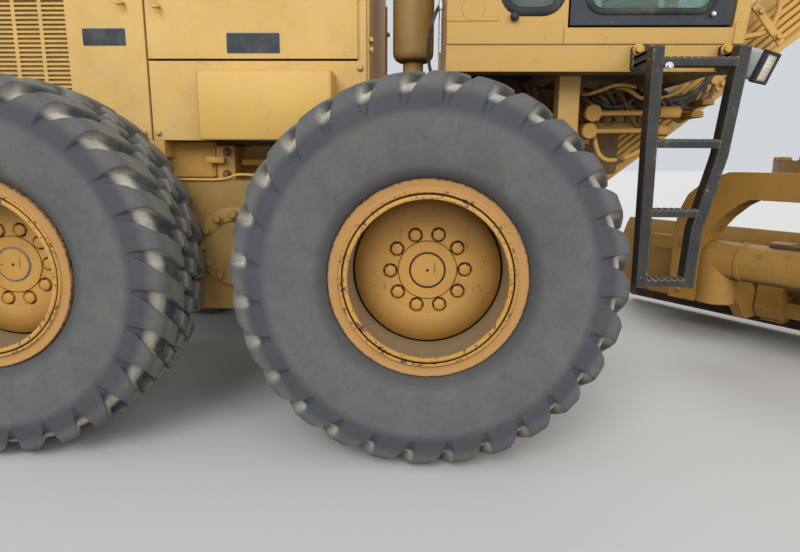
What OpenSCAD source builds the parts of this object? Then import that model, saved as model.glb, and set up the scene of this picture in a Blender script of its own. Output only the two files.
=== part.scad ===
// Motor grader with a one-piece frame, six wheels on a tandem and a leaning front axle
// Lengths are millimetres. X points forward, Y to the left, Z up, and Z = 0 is the ground.
// The pieces are drawn from the middle of the tandem, with the axles 650 above the datum line,
// and at_origin() moves them to the part's origin on the ground.

/* [Wheels] */
// Outer diameter over the tread lugs
tyre_d = 1344; // [1330:2:1360]
// Width over the sidewalls
tyre_w = 445; // [430:5:450]
// Outer diameter of the rim flanges
rim_flange_d = 662; // [640:2:680]
// Distance between the outer planes of the two rim flanges
rim_w = 370; // [355:5:375]
// Distance from the machine's middle to the middle plane of a wheel
wheel_y = 985; // [980:5:1000]
// How far the wheel disc lies inside the outer flange
disc_inset = 199; // [180:1:205]
// Thickness of the wheel disc
disc_t = 20; // [16:1:24]
// Number of tread lugs around each shoulder
lug_count = 28; // [24:1:32]
// Radius of the wheel spindles
spindle_r = 60; // [50:1:65]

/* [Axles] */
// Distance between the two axles of a tandem
tandem_pitch = 1523; // [1500:1:1560]
// Distance from the middle of the tandem to the front axle
wheelbase = 5918; // [5850:1:6000]
// Outer face of the tandem cases, from the machine's middle
tandem_y = 740; // [730:5:745]
// Width of a tandem case
tandem_w = 200; // [180:5:220]
// Bottom of the tandem cases
tandem_z0 = 434; // [420:1:440]
// Top of the tandem cases
tandem_z1 = 953; // [930:1:960]
// Radius of the rear axle housing
axle_r = 165; // [150:5:170]
// Lean pivots of the front wheels, from the machine's middle
lean_y = 690; // [680:5:692]
// Height of the lean pivots
lean_z = 520; // [510:5:530]
// Kingpins, from the machine's middle
kingpin_y = 800; // [795:1:805]
// Length from a kingpin to its tie rod joint
steer_arm = 200; // [190:5:210]
// Height from a lean pivot to the lean bar
lean_bar_h = 360; // [350:5:370]

/* [Frame] */
// Half width of the front box beam
beam_half_w = 150; // [130:5:155]
// Depth of the front box beam, measured upright
beam_depth = 380; // [350:10:400]
// Height of the beam's underside behind the rise
beam_z = 880; // [860:5:900]
// Height of the beam's underside at the top of the rise
neck_z = 1790; // [1780:5:1820]
// Distance from the machine's middle to the outer face of a rear rail
rail_y = 400; // [380:5:410]
// Thickness of a rear rail
rail_t = 90; // [70:5:100]
// Rear end of the frame, behind the middle of the tandem
tail_x = 1620; // [1600:5:1640]
// Thickness of the rear bumper
bumper_t = 90; // [70:5:100]

/* [Hood] */
// Half width of the hood
hood_half_w = 600; // [590:5:610]
// Bottom of the hood
hood_z0 = 1110; // [1105:5:1115]
// Top of the hood
hood_z1 = 2050; // [2000:10:2100]
// Front of the hood, ahead of the middle of the tandem
hood_x1 = 510; // [500:5:520]
// Rear of the hood, behind the middle of the tandem
hood_x0 = 1500; // [1480:5:1520]
// Thickness of the hood walls and doors
hood_t = 40; // [35:1:45]
// Seam between an engine door and the side panel behind it, behind the middle of the tandem
door_seam = 377; // [360:1:390]
// Bottom of the engine doors
door_z = 1430; // [1420:5:1440]
// Height from one louvre slot to the next
louvre_pitch = 17.7; // [16:0.1:20]
// Number of louvre slots in a column
louvre_rows = 33; // [20:1:34]

/* [Cab] */
// Half width of the cab
cab_half_w = 720; // [710:5:730]
// Rear of the cab, ahead of the middle of the tandem
cab_x0 = 820; // [815:5:830]
// Front of the cab at the floor
cab_x1 = 1912; // [1905:1:1920]
// How far the windscreen leans forward over its height
cab_lean = 150; // [120:5:160]
// Cab floor level
cab_z0 = 1460; // [1455:1:1465]
// Height of the cab wall above the doors
cab_header = 110; // [100:5:130]
// Thickness of the cab walls
cab_t = 50; // [45:1:55]
// Thickness of the roof
roof_t = 120; // [100:5:130]
// Rear edge of the cab doors
cab_door_x = 1275; // [1272:1:1280]
// Front edge of the cab doors at their foot
cab_door_front = 1851; // [1845:1:1855]
// Bottom of the cab doors
cab_door_z = 1529; // [1524:1:1532]
// Height of the cab doors
cab_door_h = 1600; // [1500:10:1620]
// Thickness of the window glass
glass_t = 8; // [6:1:10]

/* [Blade] */
// Length of the moldboard
blade_l = 3658; // [3500:10:3660]
// Height of the moldboard with its cutting edge
blade_h = 610; // [590:5:620]
// Thickness of the moldboard plate
blade_t = 22; // [18:1:25]
// Radius of the moldboard's curve
blade_r = 413; // [400:1:430]
// Angle of the blade to the axles, right end forward
blade_angle = 36; // [30:1:40]
// Height of the cutting edge above the ground
edge_z = 10; // [8:1:15]
// The circle's centre, as a share of the wheelbase from the middle of the tandem
circle_share = 0.56776; // [0.564:0.00001:0.572]
// Outer diameter of the circle
circle_d = 1530; // [1510:5:1550]
// Number of teeth inside the circle
circle_teeth = 64; // [60:1:66]
// Underside of the circle
circle_z = 985; // [980:1:990]
// Height of the circle's ring
circle_h = 60; // [55:1:65]
// Distance from the circle's centre back to the rear face of the blade yoke
yoke_back = 800; // [790:5:810]
// Half width over the legs of the blade yoke
yoke_half_w = 950; // [940:5:960]
// Height of the drawbar's ball
ball_z = 800; // [790:1:810]
// Distance from the front axle back to the drawbar's ball
ball_back = 318; // [310:1:325]
// Radius of the drawbar's ball
ball_r = 60; // [55:1:65]

/* [Lift cylinders] */
// Lift cylinders, from the machine's middle
lift_y = 620; // [610:5:630]
// Height of the lift cylinders' trunnions
trunnion_z = 2000; // [1980:10:2020]
// Outer radius of a lift cylinder barrel
barrel_r = 62; // [56:1:66]
// Radius of a lift cylinder rod
rod_r = 32; // [28:1:36]

/* [Fits] */
// Running gap between pieces that move past each other
run_gap = 8; // [6:1:10]
// Radial gap of a pin in its bore
pin_gap = 0.5; // [0.3:0.1:1]
// Gap between round faces that sit in each other
seat_gap = 0.3; // [0.2:0.1:0.5]
// Bore of the rear tow pin
tow_bore = 50; // [40:1:55]

/* [Hidden] */
$fn = 48;

// Colours
body_yellow = "#e0a52e";
pale_yellow = "#d9b45a";
dark = "#20242b";
rubber = "#4a4c4e";
steel = "#8d8f92";
glass = "#a9c9c4";

// Wheels
tyre_r = tyre_d / 2;
axle_z = 650;
ride = tyre_r - axle_z;
flange_r = rim_flange_d / 2;
seat_r = flange_r - 26;
bead_r = (seat_r + seat_gap) / cos(90 / lug_count);
tread_half = 120;
barrel_t = 13;
hub_r = 150;
hub_len = 40;
cap_r = 59;
rear_x = -tandem_pitch / 2;
middle_x = tandem_pitch / 2;
front_x = wheelbase;
flange_y = rim_w / 2;
disc_y = flange_y - disc_inset;
hub_inner = disc_y - disc_t - hub_len;
spindle_reach = wheel_y + disc_y - disc_t - 3;

// Frame
lamp_t = 12;
line_r = 13;
x_middle = (wheelbase + tyre_r - tail_x - bumper_t - lamp_t) / 2;
rise_x0 = 1548;
circle_x = wheelbase * circle_share;
rise_x1 = circle_x - 674.5;
rise_slope = (neck_z - beam_z) / (rise_x1 - rise_x0);
beam_x0 = hood_x1 + seat_gap;
beam_top = beam_z + 390;
rail_z0 = 850;
rail_z1 = 1090;
bolster_x0 = front_x - 190;
bolster_x1 = front_x + 200;
bolster_t = 70;
pivot_z = 720;
bolster_z0 = 930;
pivot_r = 45;
axle_boss_r = 110;
axle_half_x = 90;
boss_z0 = axle_z - 85;
boss_z1 = axle_z + 85;
lean_pivot_r = 46;
tie_z = lean_z + 100;
stud_r = 12;

// Cab
sill = 60;
door_gap = 8;
hinge_out = 16;
knuckle_r = 14;
hinge_pin_r = 7;
hinge_h = 60;
bracket_h = 20;
door_top = cab_door_z + cab_door_h;
cab_z1 = door_top + cab_header;

// Blade
circle_r = circle_d / 2;
tooth_depth = 30;
ball_x = front_x - ball_back;
drawbar_z = circle_z + circle_h + 10;
drawbar_h = 110;
yoke_d = 140;
yoke_leg = 150;
tilt_y = 300;
tilt_z = 205;
tilt_pin_r = 30;
tilt_eye_r = 58;
arm_t = 60;
arm_x = 725;
tube_y = 694;
yoke_foot = 280;
cross_tube_r = 100;
cross_tube_z = 515;
elbow_x = 740;
leg_inner = yoke_half_w - yoke_leg;
rail_front = 190;
flange_t = 30;
rail_gap = pin_gap;
rail_z = [170, 480];
groove_h = 30;
groove_z = circle_z + (circle_h - groove_h) / 2;
lift_pin_r = 24;
edge_t = 19;
curve_y = 60 - blade_r;
curve_z = edge_z + blade_h / 2 + 30;
edge_reach = -curve_y - sqrt(pow(blade_r - edge_t - seat_gap, 2) - pow(curve_z - edge_z, 2));
blade_shift = (curve_y + blade_r + blade_t - edge_reach) / 2 * tan(blade_angle);

// Lift cylinders
lift_foot_x = circle_x - 260;
lift_foot_z = 1150;
trunnion_x = circle_x;
lift_len = norm([trunnion_x - lift_foot_x, trunnion_z - lift_foot_z]);
piston_up = 415;
barrel_up = 840;
barrel_down = 400;
eye_gap = 10;
trunnion_reach = 100;
lift_tilt = atan2(trunnion_x - lift_foot_x, trunnion_z - lift_foot_z);

module at_origin() {
    translate([-x_middle, 0, ride]) children();
}

module left() {
    mirror([0, 1, 0]) children();
}

// A profile in X and Z, given a thickness in Y from y0 to y1
module slab(y0, y1) {
    translate([0, y1, 0]) rotate([90, 0, 0]) linear_extrude(y1 - y0) children();
}

// A profile in Y and Z, given a thickness in X from x0 to x1
module plate_x(x0, x1) {
    translate([x0, 0, 0]) rotate([90, 0, 90]) linear_extrude(x1 - x0) children();
}

module box(x0, x1, y0, y1, z0, z1) {
    translate([x0, y0, z0]) cube([x1 - x0, y1 - y0, z1 - z0]);
}

module rod_x(x0, x1, r) {
    translate([x0, 0, 0]) rotate([0, 90, 0]) cylinder(h = x1 - x0, r = r);
}

module rod_y(y0, y1, r) {
    translate([0, y1, 0]) rotate([90, 0, 0]) cylinder(h = y1 - y0, r = r);
}

// A flat shape with rounded corners, from one corner
module round_rect(w, h, r) {
    translate([r, 0]) square([w - 2 * r, h]);
    translate([0, r]) square([w, h - 2 * r]);
    for (x = [r, w - r], y = [r, h - r]) translate([x, y]) circle(r);
}

// Straight pipes from point to point, each run a little past the corners
module pipe(points, r) {
    last = len(points) - 2;
    for (i = [0:last]) {
        d = points[i + 1] - points[i];
        back = i > 0 ? r / 2 : 0;
        on = i < last ? r / 2 : 0;
        translate(points[i]) rotate([0, acos(d.z / norm(d)), atan2(d.y, d.x)]) translate([0, 0, -back])
            cylinder(h = norm(d) + back + on, r = r, $fn = 24);
    }
}

// Wheels

module wheel_place(x, side) {
    at_origin() translate([x, side * wheel_y, axle_z]) mirror([0, side < 0 ? 1 : 0, 0]) children();
}

// Turned about the wheel's axle; the profile's Y runs outward
module turned() {
    rotate([-90, 0, 0]) rotate_extrude($fn = 96) children();
}

// Outline of the tyre's section as [radius, distance outward], over a lug or over a pocket beside it
function tyre_section(pocket) = [
    [bead_r, rim_w / 2 - 26], [tyre_r * 0.74, tyre_w / 2],
    [tyre_r - (pocket ? 88 : 44), tyre_w / 2 - (pocket ? 12 : 18)], [tyre_r, tread_half],
    [tyre_r, -tread_half], [tyre_r - (pocket ? 88 : 44), -tyre_w / 2 + (pocket ? 12 : 18)],
    [tyre_r * 0.74, -tyre_w / 2], [bead_r, -rim_w / 2 + 26]];

module tyre() {
    stations = 2 * lug_count;
    n = len(tyre_section(true));
    color(rubber) polyhedron(
        points = [for (i = [0:stations - 1], p = tyre_section(i % 2 == 1))
            [p.x * sin(360 * i / stations), p.y, p.x * cos(360 * i / stations)]],
        faces = [for (i = [0:stations - 1], k = [0:n - 1], half = [0, 1])
            let (a = i * n + k, b = i * n + (k + 1) % n, c = (i + 1) % stations * n + (k + 1) % n,
                d = (i + 1) % stations * n + k)
            half == 0 ? [a, c, b] : [a, d, c]]);
}

module rim() {
    inner = seat_r - barrel_t;
    waist = inner - 30;
    back = disc_y - disc_t;
    color(body_yellow) turned() polygon([
        [0, disc_y + 22], [cap_r, disc_y + 22], [cap_r + 2, disc_y + 4], [100, disc_y + 4],
        [102, disc_y + 10], [110, disc_y], [220, disc_y - 2], [waist - 12, disc_y - 8],
        [waist, disc_y + 14], [waist + 8, flange_y - 40], [inner - 8, flange_y - 32],
        [inner - 8, flange_y - 6], [flange_r - 40, flange_y], [flange_r, flange_y],
        [flange_r, flange_y - 14], [seat_r, flange_y - 20], [seat_r, -flange_y + 20],
        [flange_r, -flange_y + 14], [flange_r, -flange_y], [inner, -flange_y], [inner, back - 20],
        [waist - 8, back - 6], [hub_r, back], [hub_r, hub_inner], [spindle_r + pin_gap, hub_inner],
        [spindle_r + pin_gap, back], [0, back]]);
}

module tyre_rear_right() wheel_place(rear_x, -1) tyre();
module tyre_rear_left() wheel_place(rear_x, 1) tyre();
module tyre_middle_right() wheel_place(middle_x, -1) tyre();
module tyre_middle_left() wheel_place(middle_x, 1) tyre();
module tyre_front_right() wheel_place(front_x, -1) tyre();
module tyre_front_left() wheel_place(front_x, 1) tyre();
module rim_rear_right() wheel_place(rear_x, -1) rim();
module rim_rear_left() wheel_place(rear_x, 1) rim();
module rim_middle_right() wheel_place(middle_x, -1) rim();
module rim_middle_left() wheel_place(middle_x, 1) rim();
module rim_front_right() wheel_place(front_x, -1) rim();
module rim_front_left() wheel_place(front_x, 1) rim();

// Tandem and axles

module tandem_case() {
    end_r = axle_z - tandem_z0;
    inner = tandem_y - tandem_w;
    shoulder = middle_x - 200;
    color(body_yellow) {
        slab(inner, tandem_y) {
            polygon([[-middle_x, tandem_z0], [middle_x, tandem_z0], [middle_x, axle_z + end_r],
                [shoulder, tandem_z1], [-shoulder, tandem_z1], [-middle_x, axle_z + end_r]]);
            for (x = [-middle_x, middle_x]) translate([x, axle_z]) circle(end_r);
        }
        for (x = [-middle_x, middle_x]) translate([x, 0, axle_z]) {
            rod_y(tandem_y, tandem_y + 70, 145);
            rod_y(tandem_y, spindle_reach, spindle_r);
        }
        translate([0, 0, (tandem_z0 + tandem_z1) / 2]) rod_y(tandem_y, tandem_y + 14, 155);
    }
}

module tandem_left() at_origin() tandem_case();
module tandem_right() at_origin() left() tandem_case();

module rear_axle() {
    reach = tandem_y - tandem_w;
    z = (tandem_z0 + tandem_z1) / 2;
    color(body_yellow) at_origin() translate([0, 0, z]) {
        rod_y(-reach, reach, axle_r - 10);
        rotate([90, 0, 0]) rotate_extrude() polygon([[0, -240], [axle_r, -240], [axle_r + 55, -120],
            [axle_r + 55, 120], [axle_r, 240], [0, 240]]);
        for (s = [-1, 1]) box(-110, 110, s * (rail_y - rail_t / 2) - 60, s * (rail_y - rail_t / 2) + 60,
            60, rail_z0 - z);
        rod_x(0, 380, 90);
    }
}

module front_axle() {
    fork = 46;
    color(body_yellow) at_origin() difference() {
        union() {
            plate_x(front_x - axle_half_x + 20, front_x + axle_half_x - 20) {
                polygon([[-lean_y, lean_z - 50], [-lean_y, lean_z + 50], [-300, pivot_z + 20],
                    [300, pivot_z + 20], [lean_y, lean_z + 50], [lean_y, lean_z - 50],
                    [300, pivot_z - 190], [-300, pivot_z - 190]]);
                translate([0, pivot_z]) circle(axle_boss_r);
            }
            translate([0, 0, pivot_z]) rod_x(front_x - axle_half_x, front_x + axle_half_x, axle_boss_r);
            for (s = [-1, 1]) translate([0, s * lean_y, lean_z])
                rod_x(front_x - axle_half_x + 20, front_x + axle_half_x - 20, 52);
        }
        translate([0, 0, pivot_z]) rod_x(front_x - 200, front_x + 200, pivot_r + pin_gap);
        for (s = [-1, 1]) translate([0, s * lean_y, lean_z]) {
            rod_x(front_x - 200, front_x + 200, 28 + pin_gap);
            box(front_x - fork, front_x + fork, -82, 82, -82, 82);
        }
    }
}

// Leans about the pin in the axle's fork and carries the kingpin
module lean_bracket(side) {
    half_x = 28;
    edge = lean_y + lean_pivot_r - 2;
    top = lean_z + lean_bar_h;
    color(body_yellow) at_origin() mirror([0, side < 0 ? 1 : 0, 0]) difference() {
        union() {
            translate([0, lean_y, lean_z]) rod_x(front_x - 40, front_x + 40, lean_pivot_r);
            translate([0, lean_y, lean_z]) rod_x(front_x - axle_half_x + 8, front_x + axle_half_x - 8, 28);
            plate_x(front_x - half_x, front_x + half_x) polygon([[lean_y - 44, lean_z], [edge, lean_z],
                [edge, boss_z0], [kingpin_y, boss_z0], [kingpin_y, boss_z1], [edge, boss_z1],
                [lean_y + 36, top], [lean_y - 36, top], [lean_y - 44, lean_z + 120]]);
            translate([0, lean_y, top]) rod_x(front_x - 40, front_x + 40, 36);
            translate([front_x, kingpin_y, boss_z0]) cylinder(h = boss_z1 - boss_z0, r = 56);
        }
        translate([0, lean_y, top]) {
            if (side > 0) rod_x(front_x - 60, front_x + 60, 18 + pin_gap);
            box(front_x - 18, front_x + 18, -60, 60, -60, 60);
        }
        translate([front_x, kingpin_y, boss_z0 - 1]) cylinder(h = boss_z1 - boss_z0 + 2, r = 30 + pin_gap);
    }
    if (side < 0) color(steel) at_origin() translate([0, -lean_y, top]) rod_x(front_x - 30, front_x + 30, 18);
}

module lean_bracket_left() lean_bracket(1);
module lean_bracket_right() lean_bracket(-1);

// Turns about the kingpin and carries the front wheel's spindle
module knuckle(side) {
    lug = 42;
    low = boss_z0 - lug - 2;
    high = boss_z1 + 2;
    plate_y = kingpin_y + 56 + run_gap;
    eye_y = [front_x - steer_arm, kingpin_y, 0];
    color(body_yellow) at_origin() mirror([0, side < 0 ? 1 : 0, 0]) {
        translate([front_x, kingpin_y, low]) cylinder(h = high + lug - low, r = 30);
        for (z = [low, high]) {
            translate([front_x, kingpin_y, z]) cylinder(h = lug, r = 55);
            box(front_x - 50, front_x + 50, kingpin_y + 20, plate_y + 10, z, z + lug);
        }
        box(front_x - 50, front_x + 50, plate_y, plate_y + 26, low, high + lug);
        translate([front_x, 0, axle_z]) rod_y(plate_y + 10, spindle_reach, spindle_r);
        box(front_x - steer_arm, front_x - 30, kingpin_y - 14, kingpin_y + 14, high, high + lug);
        difference() {
            translate(eye_y) translate([0, 0, tie_z + 35]) cylinder(h = high + lug - tie_z - 35, r = 30);
            if (side > 0) translate(eye_y) translate([0, 0, tie_z]) cylinder(h = 100, r = stud_r + pin_gap);
        }
        if (side < 0) translate(eye_y) translate([0, 0, tie_z - 10]) cylinder(h = 60, r = stud_r);
    }
}

module knuckle_left() knuckle(1);
module knuckle_right() knuckle(-1);

// Keeps both front wheels at the same lean
module lean_bar() {
    color(body_yellow) at_origin() translate([0, 0, lean_z + lean_bar_h]) {
        difference() {
            union() {
                translate([front_x, 0, 0]) rod_y(-lean_y + 58, lean_y - 58, 24);
                for (s = [-1, 1]) translate([0, s * (lean_y - 40), 0]) box(front_x - 12, front_x + 12, -30, 30, -20, 20);
                for (s = [-1, 1]) translate([0, s * lean_y, 0]) rod_x(front_x - 12, front_x + 12, 34);
            }
            translate([0, -lean_y, 0]) rod_x(front_x - 60, front_x + 60, 18 + 2);
        }
        translate([0, lean_y, 0]) rod_x(front_x - 48, front_x + 48, 18);
    }
}

// Ball stud that turns in the left steering arm and carries the tie rod
module tie_rod_end() {
    color(steel) at_origin() translate([front_x - steer_arm, kingpin_y, tie_z]) {
        cylinder(h = 98, r = stud_r);
        sphere(24);
    }
}

module tie_rod() {
    color(body_yellow) at_origin() translate([front_x - steer_arm, 0, tie_z]) {
        difference() {
            union() {
                rod_y(-kingpin_y + 35, kingpin_y - 20, 20);
                translate([0, kingpin_y, 0]) sphere(35);
                translate([0, -kingpin_y, -12]) cylinder(h = 24, r = 42);
            }
            translate([0, kingpin_y, 0]) sphere(24 + pin_gap);
            translate([0, kingpin_y, 0]) cylinder(h = 60, r = 23);
            translate([0, -kingpin_y, -30]) cylinder(h = 60, r = stud_r + 16);
        }
    }
}

// Frame

module main_frame() {
    bump = tail_x + bumper_t;
    bolster_top = 1640;
    color(body_yellow) at_origin() difference() {
        union() {
            for (s = [-1, 1]) box(-tail_x, 900, s * (rail_y - rail_t / 2) - rail_t / 2,
                s * (rail_y - rail_t / 2) + rail_t / 2, rail_z0, rail_z1);
            for (x = [-1400, -420, 400]) box(x, x + 90, -hood_half_w, hood_half_w, rail_z1 - 50, hood_z0);
            box(-tail_x, -tail_x + 60, -rail_y, rail_y, rail_z0, rail_z1);
            box(-bump, -tail_x, -850, 850, 760, 1180);
            box(500, 900, -rail_y, rail_y, rail_z0 + 30, beam_top - 180);
            box(560, 1250, -245, 245, beam_top - 155, beam_top - 5);
            for (s = [-1, 1]) mirror([0, s < 0 ? 1 : 0, 0]) {
                box(-398, -145, 495, 507, 958, rail_z1 + 17);
                box(-140, -62, rail_y - 10, 525, 935, rail_z1);
            }
            slab(-beam_half_w, beam_half_w) polygon([[beam_x0, beam_z], [rise_x0, beam_z], [rise_x1, neck_z],
                [rise_x1 + 260, neck_z + 60], [bolster_x0, 1380], [bolster_x0, bolster_z0], [bolster_x1, bolster_z0],
                [bolster_x1, bolster_top], [bolster_x0, bolster_top + 130],
                [rise_x1 + 280, neck_z + 60 + beam_depth], [rise_x1 - 60, neck_z + beam_depth - 30],
                [1850, beam_top + 40], [1450, beam_top], [beam_x0, beam_top]]);
            lift_saddle();
            front_plate();
        }
        translate([-bump + 45, 0, 700]) cylinder(h = 600, r = tow_bore / 2);
        box(-bump - 1, -tail_x - 10, -90, 90, 930, 1010);
        for (y = [-100, 100], z = [1060, 1260])
            translate([0, y, z]) rod_x(bolster_x1 - 60, bolster_x1 + 60, 13);
    }
}

// Plate under the beam that holds one end of the front axle's pin
module bolster_plate(x) {
    difference() {
        plate_x(x, x + bolster_t) polygon([[-beam_half_w, bolster_z0], [-beam_half_w, pivot_z + 80],
            [-pivot_r - 20, pivot_z - pivot_r - 15], [pivot_r + 20, pivot_z - pivot_r - 15],
            [beam_half_w, pivot_z + 80], [beam_half_w, bolster_z0]]);
        translate([0, 0, pivot_z]) rod_x(x - 1, x + bolster_t + 1, pivot_r + pin_gap);
    }
}

// The rear one also carries the socket of the drawbar's ball
module bolster_rear() {
    color(body_yellow) at_origin() {
        bolster_plate(bolster_x0);
        translate([ball_x, 0, ball_z]) difference() {
            rod_x(0, bolster_x0 - ball_x, 100);
            sphere(ball_r + pin_gap);
        }
    }
}

module bolster_front() color(body_yellow) at_origin() bolster_plate(bolster_x1 - bolster_t);

module axle_pin() color(steel) at_origin() translate([0, 0, pivot_z]) rod_x(bolster_x0, bolster_x1, pivot_r);

// Arms on top of the beam that hold the lift cylinders' trunnions
module lift_saddle() {
    arm_y = lift_y - trunnion_reach - run_gap;
    for (s = [-1, 1]) {
        box(trunnion_x - 70, trunnion_x + 70, s > 0 ? 0 : -arm_y, s > 0 ? arm_y : 0,
            trunnion_z - 70, trunnion_z + 50);
        translate([trunnion_x, 0, trunnion_z]) rod_y(s > 0 ? arm_y - 10 : -lift_y + barrel_r - 6,
            s > 0 ? lift_y - barrel_r + 6 : -arm_y + 10, 26);
    }
}

module front_plate() {
    box(bolster_x1, bolster_x1 + 40, -beam_half_w, beam_half_w, 1000, 1320);
}

// Cab platform with its side beams and the posts down to the frame
module platform() {
    z0 = 1365;
    color(body_yellow) at_origin() {
        for (s = [-1, 1]) {
            box(cab_x0, cab_x1 - 10, s > 0 ? cab_half_w - 90 : -cab_half_w, s > 0 ? cab_half_w : -cab_half_w + 90,
                z0, cab_z0);
            box(1275, 1357, s > 0 ? 510 : -600, s > 0 ? 600 : -510, beam_top - 150, z0);
        }
        for (x = [cab_x0, 1275, cab_x1 - 150])
            box(x, x + 82, -cab_half_w + 90, cab_half_w - 90, z0, cab_z0);
        for (x = [cab_x0, 1275])
            box(x, x + 82, -beam_half_w, beam_half_w, beam_top, z0);
        box(1275, 1357, -510, -beam_half_w, beam_top - 150, beam_top - 70);
        box(1275, 1357, beam_half_w, 510, beam_top - 150, beam_top - 70);
        box(cab_x0 + 82, cab_x1 - 150, -cab_half_w + 90, cab_half_w - 90, cab_z0 - 20, cab_z0);
        box(1350, 1740, -330, -185, beam_top - 90, beam_top + 60);
    }
}

// Cab

// Side outline of the cab
function cab_side(h0, h1) = [[cab_x0, h0], [cab_x1 + cab_lean_at(h0), h0],
    [cab_x1 + cab_lean_at(h1), h1], [cab_x0, h1]];
function cab_lean_at(z) = cab_lean * (z - cab_z0) / (cab_z1 - cab_z0);

// Outline of a cab door, grown by g on every side
module door_outline(g) {
    f0 = cab_door_front + cab_lean_at(cab_door_z) + g;
    f1 = cab_door_front + cab_lean_at(door_top) + g;
    polygon([[cab_door_x - g, cab_door_z - g], [f0, cab_door_z - g], [f1, door_top + g],
        [cab_door_x - g, door_top + g]]);
}

module door_window() {
    translate([cab_door_x + 60, cab_door_z + 47]) round_rect(cab_door_front - cab_door_x - 118,
        cab_door_h - 130, 60);
}

module quarter_window() {
    translate([1030, cab_door_z + 47]) round_rect(212, cab_door_h - 135, 70);
}

module windscreen() {
    for (side = [-1, 1]) translate([side > 0 ? 30 : -cab_half_w + 70, cab_z0 + 110])
        round_rect(cab_half_w - 100, cab_z1 - cab_z0 - 220, 60);
}

module rear_window() {
    translate([-cab_half_w + 110, cab_z1 - 1080]) round_rect(2 * cab_half_w - 220, 900, 60);
}

module front_wall(t0, t1) {
    lean = atan(cab_lean / (cab_z1 - cab_z0));
    translate([cab_x1, 0, cab_z0]) rotate([0, lean, 0]) translate([0, 0, -cab_z0]) plate_x(-t0, -t1) children();
}

module cab_shell() {
    inner = cab_half_w - cab_t;
    front = cab_x1 - cab_t;
    color(body_yellow) at_origin() {
        difference() {
            slab(-cab_half_w, cab_half_w) polygon(cab_side(cab_z0, cab_z1));
            slab(-inner, inner) polygon([[cab_x0 + cab_t, cab_z0 - 1], [front + cab_lean_at(cab_z0 - 1), cab_z0 - 1],
                [front + cab_lean_at(cab_z1 + 1), cab_z1 + 1], [cab_x0 + cab_t, cab_z1 + 1]]);
            slab(-cab_half_w - 1, cab_half_w + 1) door_outline(door_gap);
            slab(-cab_half_w - 1, cab_half_w + 1) quarter_window();
            plate_x(cab_x0 - 1, cab_x0 + cab_t + 1) rear_window();
            front_wall(cab_t + 20, -20) windscreen();
        }
        for (s = [-1, 1]) mirror([0, s < 0 ? 1 : 0, 0])
            for (z = [cab_door_z + 200, door_top - 260]) hinge_bracket(cab_door_x, cab_half_w, z, -1);
    }
}

module cab_roof() {
    over = 40;
    color(body_yellow) at_origin() slab(-cab_half_w - over, cab_half_w + over) polygon([
        [cab_x0 - over, cab_z1], [cab_x1 + cab_lean + over, cab_z1],
        [cab_x1 + cab_lean + over - 50, cab_z1 + roof_t], [cab_x0 - over + 50, cab_z1 + roof_t]]);
}

// Fixed panes, set in the middle of the walls
module cab_glass() {
    y = cab_half_w - cab_t / 2;
    color(glass) at_origin() {
        for (s = [-1, 1]) mirror([0, s < 0 ? 1 : 0, 0]) slab(y - glass_t / 2, y + glass_t / 2) quarter_window();
        plate_x(cab_x0 + cab_t / 2 - glass_t / 2, cab_x0 + cab_t / 2 + glass_t / 2) rear_window();
        front_wall(cab_t / 2 + glass_t / 2, cab_t / 2 - glass_t / 2) windscreen();
    }
}

// Fixed half of a door hinge: two ears with a pin. dir is the way from the pin to the wall.
module hinge_bracket(x, y, z, dir) {
    for (dz = [-bracket_h - 1, hinge_h + 1]) translate([x, y + hinge_out, z + dz]) {
        cylinder(h = bracket_h, r = 12);
        box(dir > 0 ? 0 : -30, dir > 0 ? 30 : 0, -hinge_out, -2, 0, bracket_h);
    }
    translate([x, y + hinge_out, z - 10]) cylinder(h = hinge_h + 20, r = hinge_pin_r);
}

// Moving half of a door hinge
module hinge_knuckle(x, y, z, dir) {
    difference() {
        union() {
            translate([x, y + hinge_out, z]) cylinder(h = hinge_h, r = knuckle_r);
            translate([x, y + hinge_out, z]) box(dir > 0 ? -45 : 0, dir > 0 ? 0 : 45, -hinge_out, -4, 0, hinge_h);
        }
        translate([x, y + hinge_out, z - 1]) cylinder(h = hinge_h + 2, r = hinge_pin_r + seat_gap);
    }
}

module cab_door() {
    color(dark) at_origin() {
        difference() {
            slab(cab_half_w - cab_t + 5, cab_half_w) door_outline(0);
            slab(cab_half_w - cab_t, cab_half_w + 1) door_window();
            for (z = [cab_door_z + 200, door_top - 260])
                translate([cab_door_x, cab_half_w + hinge_out, z - bracket_h - 5])
                    cylinder(h = hinge_h + 2 * bracket_h + 10, r = 15);
        }
        for (z = [cab_door_z + 200, door_top - 260]) hinge_knuckle(cab_door_x, cab_half_w, z, -1);
    }
}

module door_glass() {
    y = cab_half_w - cab_t / 2 + 2;
    color(glass) at_origin() slab(y - glass_t / 2, y + glass_t / 2) door_window();
}

module cab_door_left() cab_door();
module cab_door_right() left() cab_door();
module door_glass_left() door_glass();
module door_glass_right() left() door_glass();

module operator_seat() {
    x = 1080;
    color(dark) at_origin() {
        box(x, x + 300, -150, 150, cab_z0, cab_z0 + 300);
        box(x - 30, x + 440, -240, 240, cab_z0 + 300, cab_z0 + 420);
        slab(-220, 220) polygon([[x - 40, cab_z0 + 400], [x + 80, cab_z0 + 400], [x - 10, cab_z0 + 1000],
            [x - 110, cab_z0 + 1000]]);
    }
}

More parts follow.
